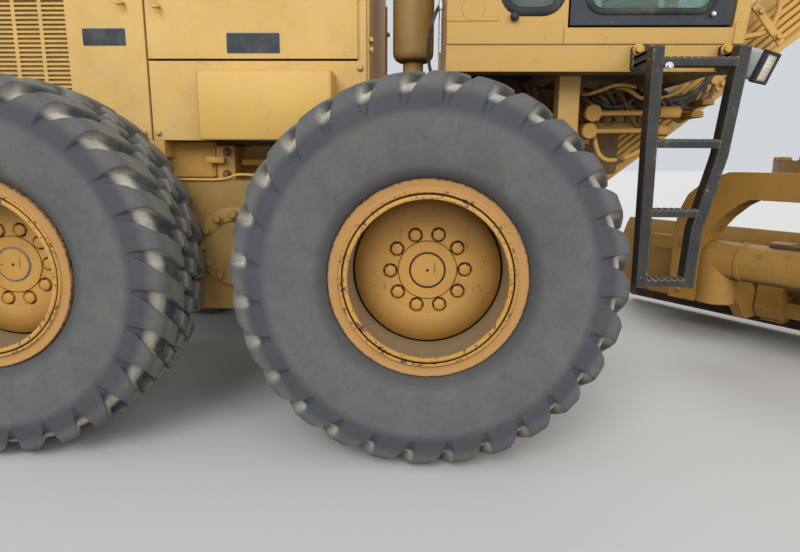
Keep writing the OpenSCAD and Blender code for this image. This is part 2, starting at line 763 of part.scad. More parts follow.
// Pedestal with the steering wheel and two banks of levers
module control_console() {
    x = 1690;
    color(dark) at_origin() {
        slab(-110, 110) polygon([[x, cab_z0], [x + 140, cab_z0], [x + 90, cab_z0 + 760], [x - 20, cab_z0 + 800]]);
        for (s = [-1, 1]) box(x - 30, x + 70, s > 0 ? 100 : -260, s > 0 ? 260 : -100, cab_z0 + 620, cab_z0 + 760);
        for (s = [-1, 1], i = [0:3]) translate([x + 20, s * (130 + i * 32), cab_z0 + 755])
            cylinder(h = 190, r = 7, $fn = 16);
        translate([x + 30, 0, cab_z0 + 770]) rotate([0, -30, 0]) {
            cylinder(h = 160, r = 28);
            translate([0, 0, 150]) rotate_extrude() translate([190, 0]) circle(16, $fn = 24);
            for (a = [90, 210, 330]) rotate(a) translate([10, -14, 142]) cube([180, 28, 14]);
        }
    }
}

// Access ladders on both sides of the platform
module ladder() {
    y0 = 885;
    y1 = 945;
    rear = [[1492, 1420], [1496, 1095], [1516, 590]];
    front = [[1790, 1420], [1752, 1060], [1690, 800], [1680, 590]];
    w = 40;
    color(dark) {
        for (line = [rear, front]) slab(y0, y1) polygon([for (p = line) p,
            for (i = [len(line) - 1:-1:0]) line[i] + [w, 0]]);
        for (step = [[1496, 1355, 1785], [1500, 1085, 1765], [1510, 845, 1715], [1516, 595, 1690]])
            box(step[0] + 10, step[2], y0, y1, step[1], step[1] + 30);
        for (x = [1492, 1765]) {
            box(x - 45, x + 20, cab_half_w, cab_half_w + 12, 1368, 1450);
            for (z = [1375, 1402]) box(x - 5, x + 9, cab_half_w + 5, y0 + 10, z, z + 13);
        }
    }
}

module ladders() {
    at_origin() {
        ladder();
        left() ladder();
    }
}

module front_lamps() {
    color(dark) at_origin() for (s = [-1, 1]) mirror([0, s < 0 ? 1 : 0, 0]) {
        translate([1897, 850, 1370]) rotate(35) box(-48, 42, -50, 50, -52, 52);
        box(1868, 1888, cab_half_w, 830, 1378, 1400);
        translate([5500, 260, 1880]) rod_x(-60, 60, 90);
        box(5470, 5530, beam_half_w, 260, 1700, 1760);
        box(5470, 5530, 230, 290, 1700, 1810);
    }
}

module rear_lamps() {
    color("#a02a20") at_origin() for (s = [-1, 1]) mirror([0, s < 0 ? 1 : 0, 0])
        translate([-tail_x - bumper_t, 700, 1100]) rotate([0, -90, 0]) cylinder(h = lamp_t, r = 50);
}

// Steel pipes that run from the pump up the right side of the beam
module hydraulic_lines() {
    y = -beam_half_w - line_r - 2 * seat_gap - 0.3;
    color(body_yellow) at_origin() {
        for (i = [0:4]) {
            low = beam_z + 80 + i * 34;
            up = 70 + i * 40;
            pipe([[1150, y, low], [1600, y, low], [rise_x1 - 140, y, neck_z - 110 + up],
                [rise_x1 + 200, y, neck_z + 75 + up], [trunnion_x - 110, y, neck_z + 65 + up]], line_r);
        }
        box(1300, 1350, -beam_half_w - 34, -beam_half_w, beam_z + 50, beam_z + 225);
        for (t = [560, 950]) translate([rise_x0 + t, -beam_half_w, beam_z + rise_slope * t])
            rotate([0, -atan(rise_slope), 0]) box(0, 50, -34, 0, 30, 240);
    }
}

// Upright canister between the hood and the cab
module air_cleaner() {
    color(body_yellow) at_origin() translate([700, -350, 0]) {
        translate([0, 0, 1456]) cylinder(h = 640, r = 90);
        translate([0, 0, 1440]) cylinder(h = 20, r = 70);
        translate([0, 0, beam_top - 180]) cylinder(h = 1440 - beam_top + 180, r = 45);
        translate([0, 0, 2096]) cylinder(h = 60, r = 50);
    }
}

// Hood

// Openings of the two doors on a side, grown by g
module front_door_outline(g) {
    translate([-door_seam + 4 - g, door_z - g]) square([hood_x1 - 35 + door_seam - 4 + 2 * g,
        hood_z1 - 130 - door_z + 2 * g]);
}

module side_panel_outline(g) {
    x0 = -hood_x0 + 130;
    translate([x0 - g, hood_z0 - 1]) square([-door_seam - 4 - x0 + 2 * g, hood_z1 - 130 - hood_z0 + 1 + g]);
}

hood_shoulder = 110;
front_hinge_x = hood_x1 - 31;
engine_hinge_z = [1690, 1830];

// Right edges of the louvre columns, and their width
louvre_x = [-700, -810, -920, -1030];
louvre_w = 94;
louvre_h = 8;
louvre_z0 = 1272;

module hood_shell() {
    inner = hood_half_w - hood_t;
    slope = hood_shoulder;
    color(pale_yellow) at_origin() {
        difference() {
            plate_x(-hood_x0, hood_x1) polygon([[-hood_half_w, hood_z0], [hood_half_w, hood_z0],
                [hood_half_w, hood_z1 - slope], [hood_half_w - slope, hood_z1],
                [-hood_half_w + slope, hood_z1], [-hood_half_w, hood_z1 - slope]]);
            plate_x(-hood_x0 - 1, hood_x1 - hood_t) polygon([[-inner, hood_z0 - 1], [inner, hood_z0 - 1],
                [inner, hood_z1 - slope - 20], [inner - slope + 20, hood_z1 - hood_t],
                [-inner + slope - 20, hood_z1 - hood_t], [-inner, hood_z1 - slope - 20]]);
            slab(-hood_half_w - 1, hood_half_w + 1) front_door_outline(door_gap);
            slab(-hood_half_w - 1, hood_half_w + 1) side_panel_outline(door_gap);
        }
        for (s = [-1, 1]) mirror([0, s < 0 ? 1 : 0, 0]) for (z = engine_hinge_z) {
            hinge_bracket(front_hinge_x, hood_half_w, z, 1);
        }
    }
}

module engine_door() {
    color(pale_yellow) at_origin() {
        slab(hood_half_w - hood_t, hood_half_w) front_door_outline(0);
        for (z = engine_hinge_z) hinge_knuckle(front_hinge_x, hood_half_w, z, 1);
    }
}

// Panel bolted to the hood from inside, with columns of louvre slots
module side_panel() {
    inner = hood_half_w - hood_t;
    color(pale_yellow) at_origin() difference() {
        union() {
            slab(inner - 4, hood_half_w) intersection() {
                side_panel_outline(0);
                translate([-hood_x0, hood_z0]) square([hood_x0, hood_z1 - hood_z0]);
            }
            slab(inner - 8, inner - seat_gap) intersection() {
                side_panel_outline(24);
                translate([-hood_x0 + 60, hood_z0]) square([hood_x0, hood_z1 - hood_shoulder - 20 - hood_z0]);
            }
        }
        for (x = louvre_x, i = [0:louvre_rows - 1])
            box(x - louvre_w, x, hood_half_w - 12, hood_half_w + 1, louvre_z0 + i * louvre_pitch,
                louvre_z0 + i * louvre_pitch + louvre_h);
    }
}

module engine_door_left() engine_door();
module engine_door_right() left() engine_door();
module side_panel_left() side_panel();
module side_panel_right() left() side_panel();

module rear_grille() {
    w = hood_half_w - 30;
    z0 = hood_z0 + 60;
    z1 = hood_z1 - 140;
    color(dark) at_origin() {
        difference() {
            box(-hood_x0 - 60, -hood_x0, -w, w, z0 - 40, z1 + 40);
            box(-hood_x0 - 61, -hood_x0 + 1, -w + 50, w - 50, z0, z1);
        }
        for (i = [0:10]) box(-hood_x0 - 45, -hood_x0 - 20, -w + 40, w - 40, z0 + 20 + i * 68, z0 + 50 + i * 68);
    }
}

module hood_stacks() {
    color(steel) at_origin() {
        translate([-250, 0, hood_z1]) {
            cylinder(h = 250, r = 110);
            translate([0, 0, 240]) cylinder(h = 870, r = 55);
        }
        translate([180, 0, hood_z1]) {
            cylinder(h = 300, r = 60);
            translate([0, 0, 290]) cylinder(h = 190, r = 130);
        }
    }
}

module tool_boxes() {
    color(body_yellow) at_origin() for (s = [-1, 1]) mirror([0, s < 0 ? 1 : 0, 0])
        box(-135, 377, hood_half_w, hood_half_w + 120, hood_z0, 1370);
}

module engine_block() {
    color(steel) at_origin() box(-1250, 250, -rail_y, rail_y, hood_z0, 1800);
}

// Blade group

// Local frame at the circle's centre: X along the blade to its left end, Y to the rear
module blade_place() {
    at_origin() translate([circle_x, 0, 0]) rotate(90 + blade_angle) children();
}

module drawbar() {
    z0 = drawbar_z;
    z1 = drawbar_z + drawbar_h;
    rail_off = 430;
    bend_x = circle_x + 1130;
    tongue_r = circle_r - 75 - 15;
    shoe_r = circle_r - 105 - run_gap;
    color(body_yellow) at_origin() {
        translate([ball_x, 0, ball_z]) sphere(ball_r);
        translate([ball_x, 0, ball_z]) rod_x(-170, 0, 38);
        box(circle_x + 620, circle_x + 720, -rail_off, rail_off, z0, z1);
        box(lift_foot_x - 60, lift_foot_x + 60, -lift_y + 40, lift_y - 40, z0, z1);
        for (s = [-1, 1]) {
            box(lift_foot_x - 60, bend_x, s * rail_off - 60, s * rail_off + 60, z0, z1);
            hull() {
                box(bend_x - 60, bend_x, s * rail_off - 60, s * rail_off + 60, z0, z1);
                box(ball_x - 220, ball_x - 130, s * 40 - 35, s * 40 + 35, ball_z - 60, ball_z + 60);
            }
            box(lift_foot_x - 60, lift_foot_x + 60, s > 0 ? 480 : -lift_y + 60, s > 0 ? lift_y - 60 : -480,
                z0, lift_foot_z + 50);
            translate([lift_foot_x, 0, lift_foot_z]) rod_y(s > 0 ? 500 : -lift_y - 40,
                s > 0 ? lift_y + 40 : -500, lift_pin_r);
        }
        for (a = [45, 115, -45, -115]) translate([circle_x, 0, 0]) rotate(a) {
            box(shoe_r - 110, shoe_r, -60, 60, circle_z + 5, z0 + 20);
            box(shoe_r - 20, tongue_r, -60, 60, groove_z + run_gap, groove_z + groove_h - seat_gap);
        }
        translate([circle_x + 560, 0, z0]) cylinder(h = 320, r = 110);
        translate([circle_x + 560, 0, z0 - 55]) cylinder(h = 60, r = 90);
        box(circle_x + 440, circle_x + 640, -rail_off, rail_off, z0, z0 + 40);
    }
}

function ring_2d(r, depth, n) = [for (i = [0:n - 1], k = [0:3])
    (k < 2 ? r : r + depth) * [cos(360 * (i + [0, 0.35, 0.5, 0.85][k]) / n),
        sin(360 * (i + [0, 0.35, 0.5, 0.85][k]) / n)]];

// Left half of the yoke's outline, from the middle of its underside round to the middle of its top
yoke_half = [[560, 850], [620, 815], [690, 750], [760, 660], [leg_inner, 560], [leg_inner, yoke_foot],
    [yoke_half_w, yoke_foot], [yoke_half_w, 640], [935, 760], [890, 860], [800, 940], [680, circle_z]];

// Ring with inner teeth, and the yoke that carries the blade
module blade_circle() {
    color(body_yellow) blade_place() {
        difference() {
            translate([0, 0, circle_z - 10]) linear_extrude(circle_h + 10) difference() {
                circle(circle_r, $fn = 96);
                polygon(ring_2d(circle_r - 75 - tooth_depth, tooth_depth, circle_teeth));
            }
            translate([0, 0, groove_z]) cylinder(h = groove_h, r = circle_r - 71, $fn = 96);
        }
        translate([0, yoke_back, 0]) rotate([90, 0, 0]) linear_extrude(yoke_d) polygon([
            for (p = yoke_half) p, for (i = [len(yoke_half) - 1:-1:0]) [-yoke_half[i].x, yoke_half[i].y]]);
        translate([0, tube_y, cross_tube_z]) rod_x(-elbow_x, elbow_x, cross_tube_r);
        for (s = [-1, 1]) translate([s * elbow_x, tube_y, cross_tube_z]) {
            sphere(cross_tube_r);
            translate([0, 0, yoke_foot - cross_tube_z]) cylinder(h = cross_tube_z - yoke_foot, r = cross_tube_r);
        }
        for (s = [-1, 1]) difference() {
            plate_x(s * arm_x - arm_t / 2, s * arm_x + arm_t / 2) {
                polygon([[tube_y, cross_tube_z + 70], [tube_y - 60, cross_tube_z + 70],
                    [tilt_y - 10, tilt_z + 60], [tilt_y - 10, tilt_z - 60], [tilt_y + 120, tilt_z - 60],
                    [tube_y, cross_tube_z - 90]]);
                translate([tilt_y, tilt_z]) circle(tilt_eye_r);
            }
            translate([0, tilt_y, tilt_z]) rod_x(s * arm_x - arm_t, s * arm_x + arm_t, tilt_pin_r + pin_gap);
        }
    }
}

// Turns about the pins in the yoke's arms and guides the moldboard's rails
module blade_frame() {
    face = rail_front + flange_t + rail_gap;
    x1 = arm_x - arm_t / 2 - run_gap;
    color(body_yellow) blade_place() {
        box(-x1 + 20, x1 - 20, face + 10, face + 70, 330, 400);
        for (s = [-1, 1]) {
            translate([0, tilt_y, tilt_z]) rod_x(s > 0 ? x1 - 60 : -arm_x - arm_t / 2 - 10,
                s > 0 ? arm_x + arm_t / 2 + 10 : -x1 + 60, tilt_pin_r);
            plate_x(s * (x1 - 60) - 60, s * (x1 - 60) + 60) {
                polygon([[face, rail_z[0] - 50], [tilt_y, tilt_z - tilt_eye_r], [tilt_y + 50, tilt_z],
                    [tilt_y + 20, 420], [face + 60, rail_z[1] + 100], [face, rail_z[1] + 100]]);
                for (z = rail_z) guide_hooks(z);
            }
        }
    }
}

// Hooks above and below one rail's flange, in Y and Z
module guide_hooks(z) {
    for (up = [-1, 1]) translate([0, z + 25]) scale([1, up]) {
        translate([rail_front - rail_gap - 26, 45 + rail_gap]) square([26 + rail_gap + flange_t + 30, 30]);
        translate([rail_front - rail_gap - 26, 25 + rail_gap]) square([26, 40]);
    }
}

// Section of the moldboard in Y and Z, measured from the cutting edge's foot
module blade_section(t0, t1, z0, z1) {
    intersection() {
        translate([curve_y, curve_z]) difference() {
            circle(blade_r + t1, $fn = 96);
            circle(blade_r + t0, $fn = 96);
        }
        translate([-400, z0]) square([800, z1 - z0]);
    }
}

module moldboard() {
    half = blade_l / 2;
    color(body_yellow) blade_place() translate([blade_shift, 0, 0]) {
        plate_x(-half, half) blade_section(0, blade_t, edge_z + 90, edge_z + blade_h);
        plate_x(-half + 350, half - 350) difference() {
            for (z = rail_z) {
                translate([0, z]) square([rail_front + 5, 50]);
                translate([rail_front, z - 20]) square([flange_t, 90]);
            }
            translate([curve_y, curve_z]) circle(blade_r + blade_t / 2, $fn = 96);
        }
    }
}

module cutting_edge() {
    half = blade_l / 2;
    color(steel) blade_place() translate([blade_shift, 0, 0]) plate_x(-half, half)
        blade_section(-edge_t - seat_gap, -seat_gap, edge_z, edge_z + 150);
}

// Lift cylinders

module lift_place(side) {
    at_origin() translate([trunnion_x, side * lift_y, trunnion_z]) rotate([0, lift_tilt, 0]) children();
}

// The barrel hangs on its trunnion, and the bore leaves the rod's gland at the lower end
module lift_barrel(side) {
    bore = barrel_r - 12;
    bottom = -barrel_down;
    color(body_yellow) lift_place(side) difference() {
        union() {
            translate([0, 0, bottom]) cylinder(h = barrel_up - bottom, r = barrel_r);
            translate([0, 0, bottom]) cylinder(h = 60, r = barrel_r + 12);
            translate([0, 0, barrel_up - 40]) cylinder(h = 40, r = barrel_r + 8);
            rod_y(side > 0 ? -trunnion_reach : 0, side > 0 ? 0 : trunnion_reach, 46);
        }
        translate([0, 0, bottom - 1]) cylinder(h = 100, r = rod_r + pin_gap);
        translate([0, 0, bottom + 70]) cylinder(h = barrel_up - bottom - 110, r = bore);
        rod_y(side > 0 ? -trunnion_reach - 1 : barrel_r - 8, side > 0 ? -barrel_r + 8 : trunnion_reach + 1,
            26 + pin_gap);
    }
}

module lift_rod(side) {
    eye = lift_len;
    color(steel) lift_place(side) difference() {
        union() {
            translate([0, 0, -eye + 40]) cylinder(h = eye - 40 + piston_up, r = rod_r);
            translate([0, 0, piston_up - 45]) cylinder(h = 45, r = barrel_r - 12 - pin_gap);
            translate([0, 0, -eye]) rod_y(-28, 28, lift_pin_r + 38);
        }
        translate([0, 0, -eye]) rod_y(-60, 60, lift_pin_r + eye_gap);
    }
}

module lift_barrel_left() lift_barrel(1);
module lift_barrel_right() lift_barrel(-1);
module lift_rod_left() lift_rod(1);
module lift_rod_right() lift_rod(-1);

main_frame();
platform();
cab_shell();
cab_roof();
cab_glass();
operator_seat();
control_console();
ladders();
front_lamps();
rear_lamps();
hydraulic_lines();
air_cleaner();
hood_shell();
rear_grille();
hood_stacks();
tool_boxes();
engine_block();
rear_axle();
tandem_right();
tandem_left();
front_axle();
bolster_rear();
bolster_front();
axle_pin();
cab_door_right();
cab_door_left();
door_glass_right();
door_glass_left();
engine_door_right();
engine_door_left();
side_panel_right();
side_panel_left();
tyre_rear_right();
tyre_rear_left();
tyre_middle_right();
tyre_middle_left();
tyre_front_right();
tyre_front_left();
rim_rear_right();
rim_rear_left();
rim_middle_right();
rim_middle_left();
rim_front_right();
rim_front_left();
lean_bracket_right();
lean_bracket_left();
knuckle_right();
knuckle_left();
lean_bar();
tie_rod_end();
tie_rod();
drawbar();
blade_circle();
blade_frame();
moldboard();
cutting_edge();
lift_barrel_right();
lift_barrel_left();
lift_rod_right();
lift_rod_left();
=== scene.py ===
"""Finished looks of a motor grader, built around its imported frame.

Every piece is a surface worked out with numpy in metres, in the frame's own axes: X forward, Y to the
machine's left, Z up. The right side faces the camera. Wheels are computed once around their own hub,
with Y outward, and then set on their axles.
"""

import math

import bpy
import numpy as np
from bpy.props import FloatProperty, FloatVectorProperty, IntProperty, PointerProperty
from mathutils import Matrix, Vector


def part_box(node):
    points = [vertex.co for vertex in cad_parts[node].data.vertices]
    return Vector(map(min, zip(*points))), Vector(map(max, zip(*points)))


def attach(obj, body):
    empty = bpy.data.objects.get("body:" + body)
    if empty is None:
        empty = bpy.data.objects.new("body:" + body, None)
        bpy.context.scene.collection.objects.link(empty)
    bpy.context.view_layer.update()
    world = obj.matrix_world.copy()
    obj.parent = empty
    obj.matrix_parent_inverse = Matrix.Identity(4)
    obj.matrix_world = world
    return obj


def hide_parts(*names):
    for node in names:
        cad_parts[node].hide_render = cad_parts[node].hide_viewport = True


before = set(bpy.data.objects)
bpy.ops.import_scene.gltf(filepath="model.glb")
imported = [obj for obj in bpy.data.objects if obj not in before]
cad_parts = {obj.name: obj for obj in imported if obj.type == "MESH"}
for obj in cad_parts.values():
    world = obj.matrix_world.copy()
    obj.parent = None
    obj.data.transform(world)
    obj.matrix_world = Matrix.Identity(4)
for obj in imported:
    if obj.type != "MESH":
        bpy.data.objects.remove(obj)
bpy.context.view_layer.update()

bl_info = {
    "name": "Motor grader looks",
    "version": (1, 0, 0),
    "blender": (4, 5, 0),
    "location": "View3D > Sidebar > Grader",
    "description": "Builds the finished surfaces of a motor grader around its packed frame",
    "category": "Object",
}

WHEELS = [(row, side) for row in ("rear", "middle", "front") for side in ("right", "left")]


def srgb(r, g, b):
    """A linear colour with alpha from screen values of 0 to 255."""
    return tuple(
        (v / 255 / 12.92) if v < 10.3 else ((v / 255 + 0.055) / 1.055) ** 2.4 for v in (r, g, b)) + (1.0,)


class GraderSizes(bpy.types.PropertyGroup):
    """Sizes of the finer forms that the CAD frame leaves out."""

    lug_count: IntProperty(
        name="Shoulder lugs", description="Lugs around each shoulder of a tyre", default=28, min=20,
        max=36)
    tread_depth: FloatProperty(
        name="Tread depth", description="Depth of the tread grooves", default=0.033, min=0.01, max=0.05,
        unit="LENGTH")
    nut_count: IntProperty(
        name="Wheel nuts", description="Nuts that hold a wheel disc", default=10, min=6, max=14)
    nut_circle: FloatProperty(
        name="Nut circle radius", description="Radius of the wheel nuts' circle", default=0.1333, min=0.1,
        max=0.2, unit="LENGTH")


class GraderColours(bpy.types.PropertyGroup):
    """Colours of the paints and the rubber."""

    amber: FloatVectorProperty(
        name="Amber paint", description="Paint of the frame, rims and cab", subtype="COLOR", size=4,
        default=srgb(198, 150, 66), min=0, max=1)
    pale: FloatVectorProperty(
        name="Faded paint", description="Sun-faded paint of the engine hood", subtype="COLOR", size=4,
        default=srgb(198, 157, 80), min=0, max=1)
    black: FloatVectorProperty(
        name="Black paint", description="Paint of the door and ladders", subtype="COLOR", size=4,
        default=srgb(24, 30, 36), min=0, max=1)
    rubber: FloatVectorProperty(
        name="Aged rubber", description="Weathered tyre rubber", subtype="COLOR", size=4,
        default=srgb(84, 85, 86), min=0, max=1)
    rust: FloatVectorProperty(
        name="Rust", description="Colour of chipped and rusted metal", subtype="COLOR", size=4,
        default=srgb(88, 58, 46), min=0, max=1)
    dust: FloatVectorProperty(
        name="Dust", description="Dry road dust", subtype="COLOR", size=4, default=srgb(158, 146, 122),
        min=0, max=1)


# Surfaces


def grid_faces(nu, nv, close_u=False, close_v=False, start=0):
    """Four-cornered faces of an nu by nv grid of points, wrapped round where an end is closed."""
    i, j = np.meshgrid(
        np.arange(nu if close_u else nu - 1), np.arange(nv if close_v else nv - 1), indexing="ij")
    k, l = (i + 1) % nu, (j + 1) % nv
    return start + np.stack([i * nv + j, k * nv + j, k * nv + l, i * nv + l], -1).reshape(-1, 4)


class Shape:
    """Points and faces of one piece, added surface by surface."""

    def __init__(self):
        self.points, self.quads, self.fans, self.tags, self.n = [], [], [], [], 0

    def grid(self, p, close_u=False, close_v=False, tag=0.0, flip=False, caps=False):
        """Adds a surface from an array of nu by nv points; caps closes both ends of v-loops with one face
        each."""
        nu, nv = p.shape[:2]
        f = grid_faces(nu, nv, close_u, close_v, self.n)
        self.quads.append(f[:, ::-1] if flip else f)
        if caps:
            first, last = self.n + np.arange(nv), self.n + (nu - 1) * nv + np.arange(nv)
            self.fans += [
                (first if not flip else first[::-1]).tolist(), (last[::-1] if not flip else last).tolist()]
        self.points.append(p.reshape(-1, 3))
        self.tags.append(np.full(nu * nv, tag) if np.isscalar(tag) else np.asarray(tag, float).ravel())
        self.n += nu * nv

    def moved(self, matrix, other, tag=None):
        """Adds another shape, turned and moved by a four by four matrix."""
        p = np.concatenate(other.points)
        m = np.array(matrix, float)
        flip = np.linalg.det(m[:3, :3]) < 0
        for q in other.quads:
            self.quads.append((q[:, ::-1] if flip else q) + self.n)
        for f in other.fans:
            self.fans.append([v + self.n for v in (f[::-1] if flip else f)])
        self.points.append(p @ m[:3, :3].T + m[:3, 3])
        t = np.concatenate(other.tags)
        self.tags.append(t if tag is None else np.full(len(t), tag))
        self.n += len(p)


def turned_profile(profile, segments=96, tag=0.0):
    """A profile of (radius, height) pairs turned about Y, the height running along +Y."""
    s = Shape()
    a = np.linspace(0, 2 * np.pi, segments, endpoint=False)
    r, y = np.asarray(profile, float).T
    p = np.stack(np.broadcast_arrays(np.cos(a)[:, None] * r, y[None, :], -np.sin(a)[:, None] * r), -1)
    s.grid(p, close_u=True, tag=tag)
    return s


def swept_pipe(points, radius, ring=12, smooth=6, tag=0.0):
    """A round pipe carried along a Catmull-Rom curve through the points, its ring turned with the least
    twist."""
    c = np.asarray(points, float)
    if smooth > 1 and len(c) > 2:
        e = np.vstack([2 * c[0] - c[1], c, 2 * c[-1] - c[-2]])
        t = np.linspace(0, 1, smooth, endpoint=False)[:, None]
        seg = [
            0.5
            * (
                2 * e[i + 1] + (e[i + 2] - e[i]) * t + (2 * e[i] - 5 * e[i + 1] + 4 * e[i + 2] - e[i + 3])
                * t**2 + (3 * e[i + 1] - e[i] - 3 * e[i + 2] + e[i + 3]) * t**3)
            for i in range(len(c) - 1)]
        c = np.vstack(seg + [c[-1:]])
    d = np.gradient(c, axis=0)
    d /= np.linalg.norm(d, axis=1)[:, None]
    n = np.cross(d[0], [0, 0, 1.0] if abs(d[0][2]) < 0.9 else [1.0, 0, 0])
    normals = []
    for k in range(len(c)):
        n = n - d[k] * np.dot(n, d[k])
        n = n / np.linalg.norm(n)
        normals.append(n)
    n = np.array(normals)
    b = np.cross(d, n)
    a = np.linspace(0, 2 * np.pi, ring, endpoint=False)
    r = np.broadcast_to(np.asarray(radius, float), (len(c),))
    p = c[:, None] + r[:, None, None] * (
        np.cos(a)[None, :, None] * n[:, None] + np.sin(a)[None, :, None] * b[:, None])
    s = Shape()
    s.grid(p, close_v=True, tag=tag, caps=True, flip=True)
    return s


def soft_block(lo, hi, radius=0.004, arc=3, tag=0.0):
    """A box with rounded edges: a small ball whose eight eighths are pushed out to the box's corners."""
    lo, hi = np.minimum(lo, hi).astype(float), np.maximum(lo, hi).astype(float)
    radius = min(radius, (hi - lo).min() / 2 - 1e-5)
    q = np.linspace(0, np.pi / 2, arc)
    lon = np.concatenate([q + k * np.pi / 2 for k in range(4)])
    lat = np.concatenate([q - np.pi / 2, q])
    sx, sy = np.repeat([1, -1, -1, 1], arc), np.repeat([1, 1, -1, -1], arc)
    sz = np.repeat([-1, 1], arc)
    u = np.stack([np.cos(lon)[None] * np.cos(lat)[:, None], np.sin(lon)[None] * np.cos(lat)[:, None],
                  np.broadcast_to(np.sin(lat)[:, None], (len(lat), len(lon)))], -1)
    sign = np.stack([np.broadcast_to(sx, u.shape[:2]), np.broadcast_to(sy, u.shape[:2]),
                     np.broadcast_to(sz[:, None], u.shape[:2])], -1)
    p = (lo + hi) / 2 + sign * ((hi - lo) / 2 - radius) + u * radius
    s = Shape()
    s.grid(p, close_v=True, tag=tag, caps=True, flip=True)
    return s


def plate(outline, y0, y1, bevel=0.002, tag=0.0):
    """A flat plate in X and Z between two Y planes: its outline is carried through and drawn in at both
    faces."""
    o = np.asarray(outline, float)
    area = 0.5 * np.sum(o[:, 0] * np.roll(o[:, 1], -1) - np.roll(o[:, 0], -1) * o[:, 1])
    if area < 0:
        o = o[::-1]
    prev, nxt = o - np.roll(o, 1, 0), np.roll(o, -1, 0) - o
    normal = np.stack([
        prev[:, 1] / np.linalg.norm(prev, axis=1) + nxt[:, 1] / np.linalg.norm(nxt, axis=1),
        -prev[:, 0] / np.linalg.norm(prev, axis=1) - nxt[:, 0] / np.linalg.norm(nxt, axis=1)], -1)
    normal /= np.maximum(np.linalg.norm(normal, axis=1), 1e-9)[:, None]
    inner = o - normal * bevel
    ys = [y0, y0 + bevel, y1 - bevel, y1]
    rings = [np.stack([q[:, 0], np.full(len(q), y), q[:, 1]], -1) for q, y in zip([inner, o, o, inner], ys)]
    s = Shape()
    s.grid(np.array(rings), close_v=True, tag=tag, caps=True)
    return s


def hexagon_head(width, height, washer=0.0, tag=0.0):
    """A bolt head along +Y: six flats whose corners are cut by a cone, on a round washer."""
    a = np.linspace(0, 2 * np.pi, 24, endpoint=False)
    k = (a + np.pi / 6) % (np.pi / 3) - np.pi / 6
    flat = width / 2 / np.cos(k)
    base = washer if washer else 0.0
    rings = [
        (flat, base), (flat, base + height * 0.82),
        (np.minimum(flat, width * 0.515), base + height * 0.92),
        (np.full(24, width * 0.44), base + height), (np.full(24, 1e-4), base + height)]
    s = Shape()
    p = np.array([np.stack([r * np.cos(a), np.full(24, y), r * np.sin(a)], -1) for r, y in rings])
    s.grid(p, close_v=True, tag=tag)
    if washer:
        s.moved(
            np.eye(4),
            turned_profile([
                (1e-4, 0), (width * 0.85, 0), (width * 0.85, washer * 0.8), (width * 0.8, washer),
                (width * 0.4, washer)], 24, tag))
    return s


def place(x, y, z, towards="-y"):
    """The matrix that sets a piece drawn along +Y at a point, facing the named way."""
    axis, angle = {
        "+y": ("Z", 0.0), "-y": ("Z", math.pi), "+x": ("Z", -math.pi / 2), "-x": ("Z", math.pi / 2),
        "+z": ("X", math.pi / 2), "-z": ("X", -math.pi / 2)}[towards]
    return Matrix.Translation((x, y, z)) @ Matrix.Rotation(angle, 4, axis)


def make_piece(name, shape, finish, body, sharp=32.0, local=None, replaced=()):
    """Puts a shape into a mesh object that rides on a body. local holds each point's place around its own
    hub. The finish names its material."""
    pts = np.concatenate(shape.points)
    quads = np.concatenate(shape.quads) if shape.quads else np.zeros((0, 4), int)
    fan_sizes = [len(f) for f in shape.fans]
    loops = np.concatenate([quads.ravel()] + [np.array(f) for f in shape.fans]).astype(np.int32)
    totals = np.concatenate([np.full(len(quads), 4), np.array(fan_sizes, int)]).astype(np.int32)
    starts = np.concatenate([[0], np.cumsum(totals)[:-1]]).astype(np.int32)
    mesh = bpy.data.meshes.new(name)
    mesh.vertices.add(len(pts))
    mesh.vertices.foreach_set("co", pts.astype(np.float32).ravel())
    mesh.loops.add(len(loops))
    mesh.loops.foreach_set("vertex_index", loops)
    mesh.polygons.add(len(totals))
    mesh.polygons.foreach_set("loop_start", starts)
    mesh.update(calc_edges=True)
    mesh.validate()
    tones = np.concatenate(shape.tags).astype(np.float32)
    mesh.attributes.new("tone", "FLOAT", "POINT").data.foreach_set("value", tones)
    if local is not None:
        mesh.attributes.new("hub_place", "FLOAT_VECTOR", "POINT").data.foreach_set(
            "vector", local.astype(np.float32).ravel())
    mesh.shade_smooth()
    mesh.set_sharp_from_angle(angle=math.radians(sharp))
    mesh.materials.append(M[finish])
    obj = bpy.data.objects.new(name, mesh)
    bpy.context.scene.collection.objects.link(obj)
    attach(obj, body)
    if replaced:
        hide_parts(*replaced)
    return obj


# Materials


def add_node(tree, kind, inputs=None, **settings):
    """Adds one shader node, sets its own settings, and gives its inputs values or links."""
    n = tree.nodes.new(kind)
    for key, value in settings.items():
        setattr(n, key, value)
    for key, value in (inputs or {}).items():
        if isinstance(value, bpy.types.NodeSocket):
            tree.links.new(value, n.inputs[key])
        else:
            n.inputs[key].default_value = value
    return n


def maths(tree, kind, a, b=0.0, c=0.0, clamp=False):
    """One Math node's output."""
    return add_node(tree, "ShaderNodeMath", {0: a, 1: b, 2: c}, operation=kind, use_clamp=clamp).outputs[0]


def mixed(tree, factor, a, b, blend="MIX"):
    """A mix of two colours."""
    return add_node(
        tree, "ShaderNodeMix", {0: factor, 6: a, 7: b}, data_type="RGBA", blend_type=blend).outputs[2]


def spread(tree, value, low, high, out_low=0.0, out_high=1.0):
    """A value carried smoothly from one range to another."""
    return add_node(
        tree, "ShaderNodeMapRange", {0: value, 1: low, 2: high, 3: out_low, 4: out_high},
        interpolation_type="SMOOTHSTEP").outputs[0]


def noise(tree, vector, scale, detail=4.0, rough=0.55, distortion=0.0):
    """A noise pattern's value."""
    return add_node(
        tree, "ShaderNodeTexNoise",
        {"Vector": vector, "Scale": scale, "Detail": detail, "Roughness": rough, "Distortion": distortion}
    ).outputs[0]


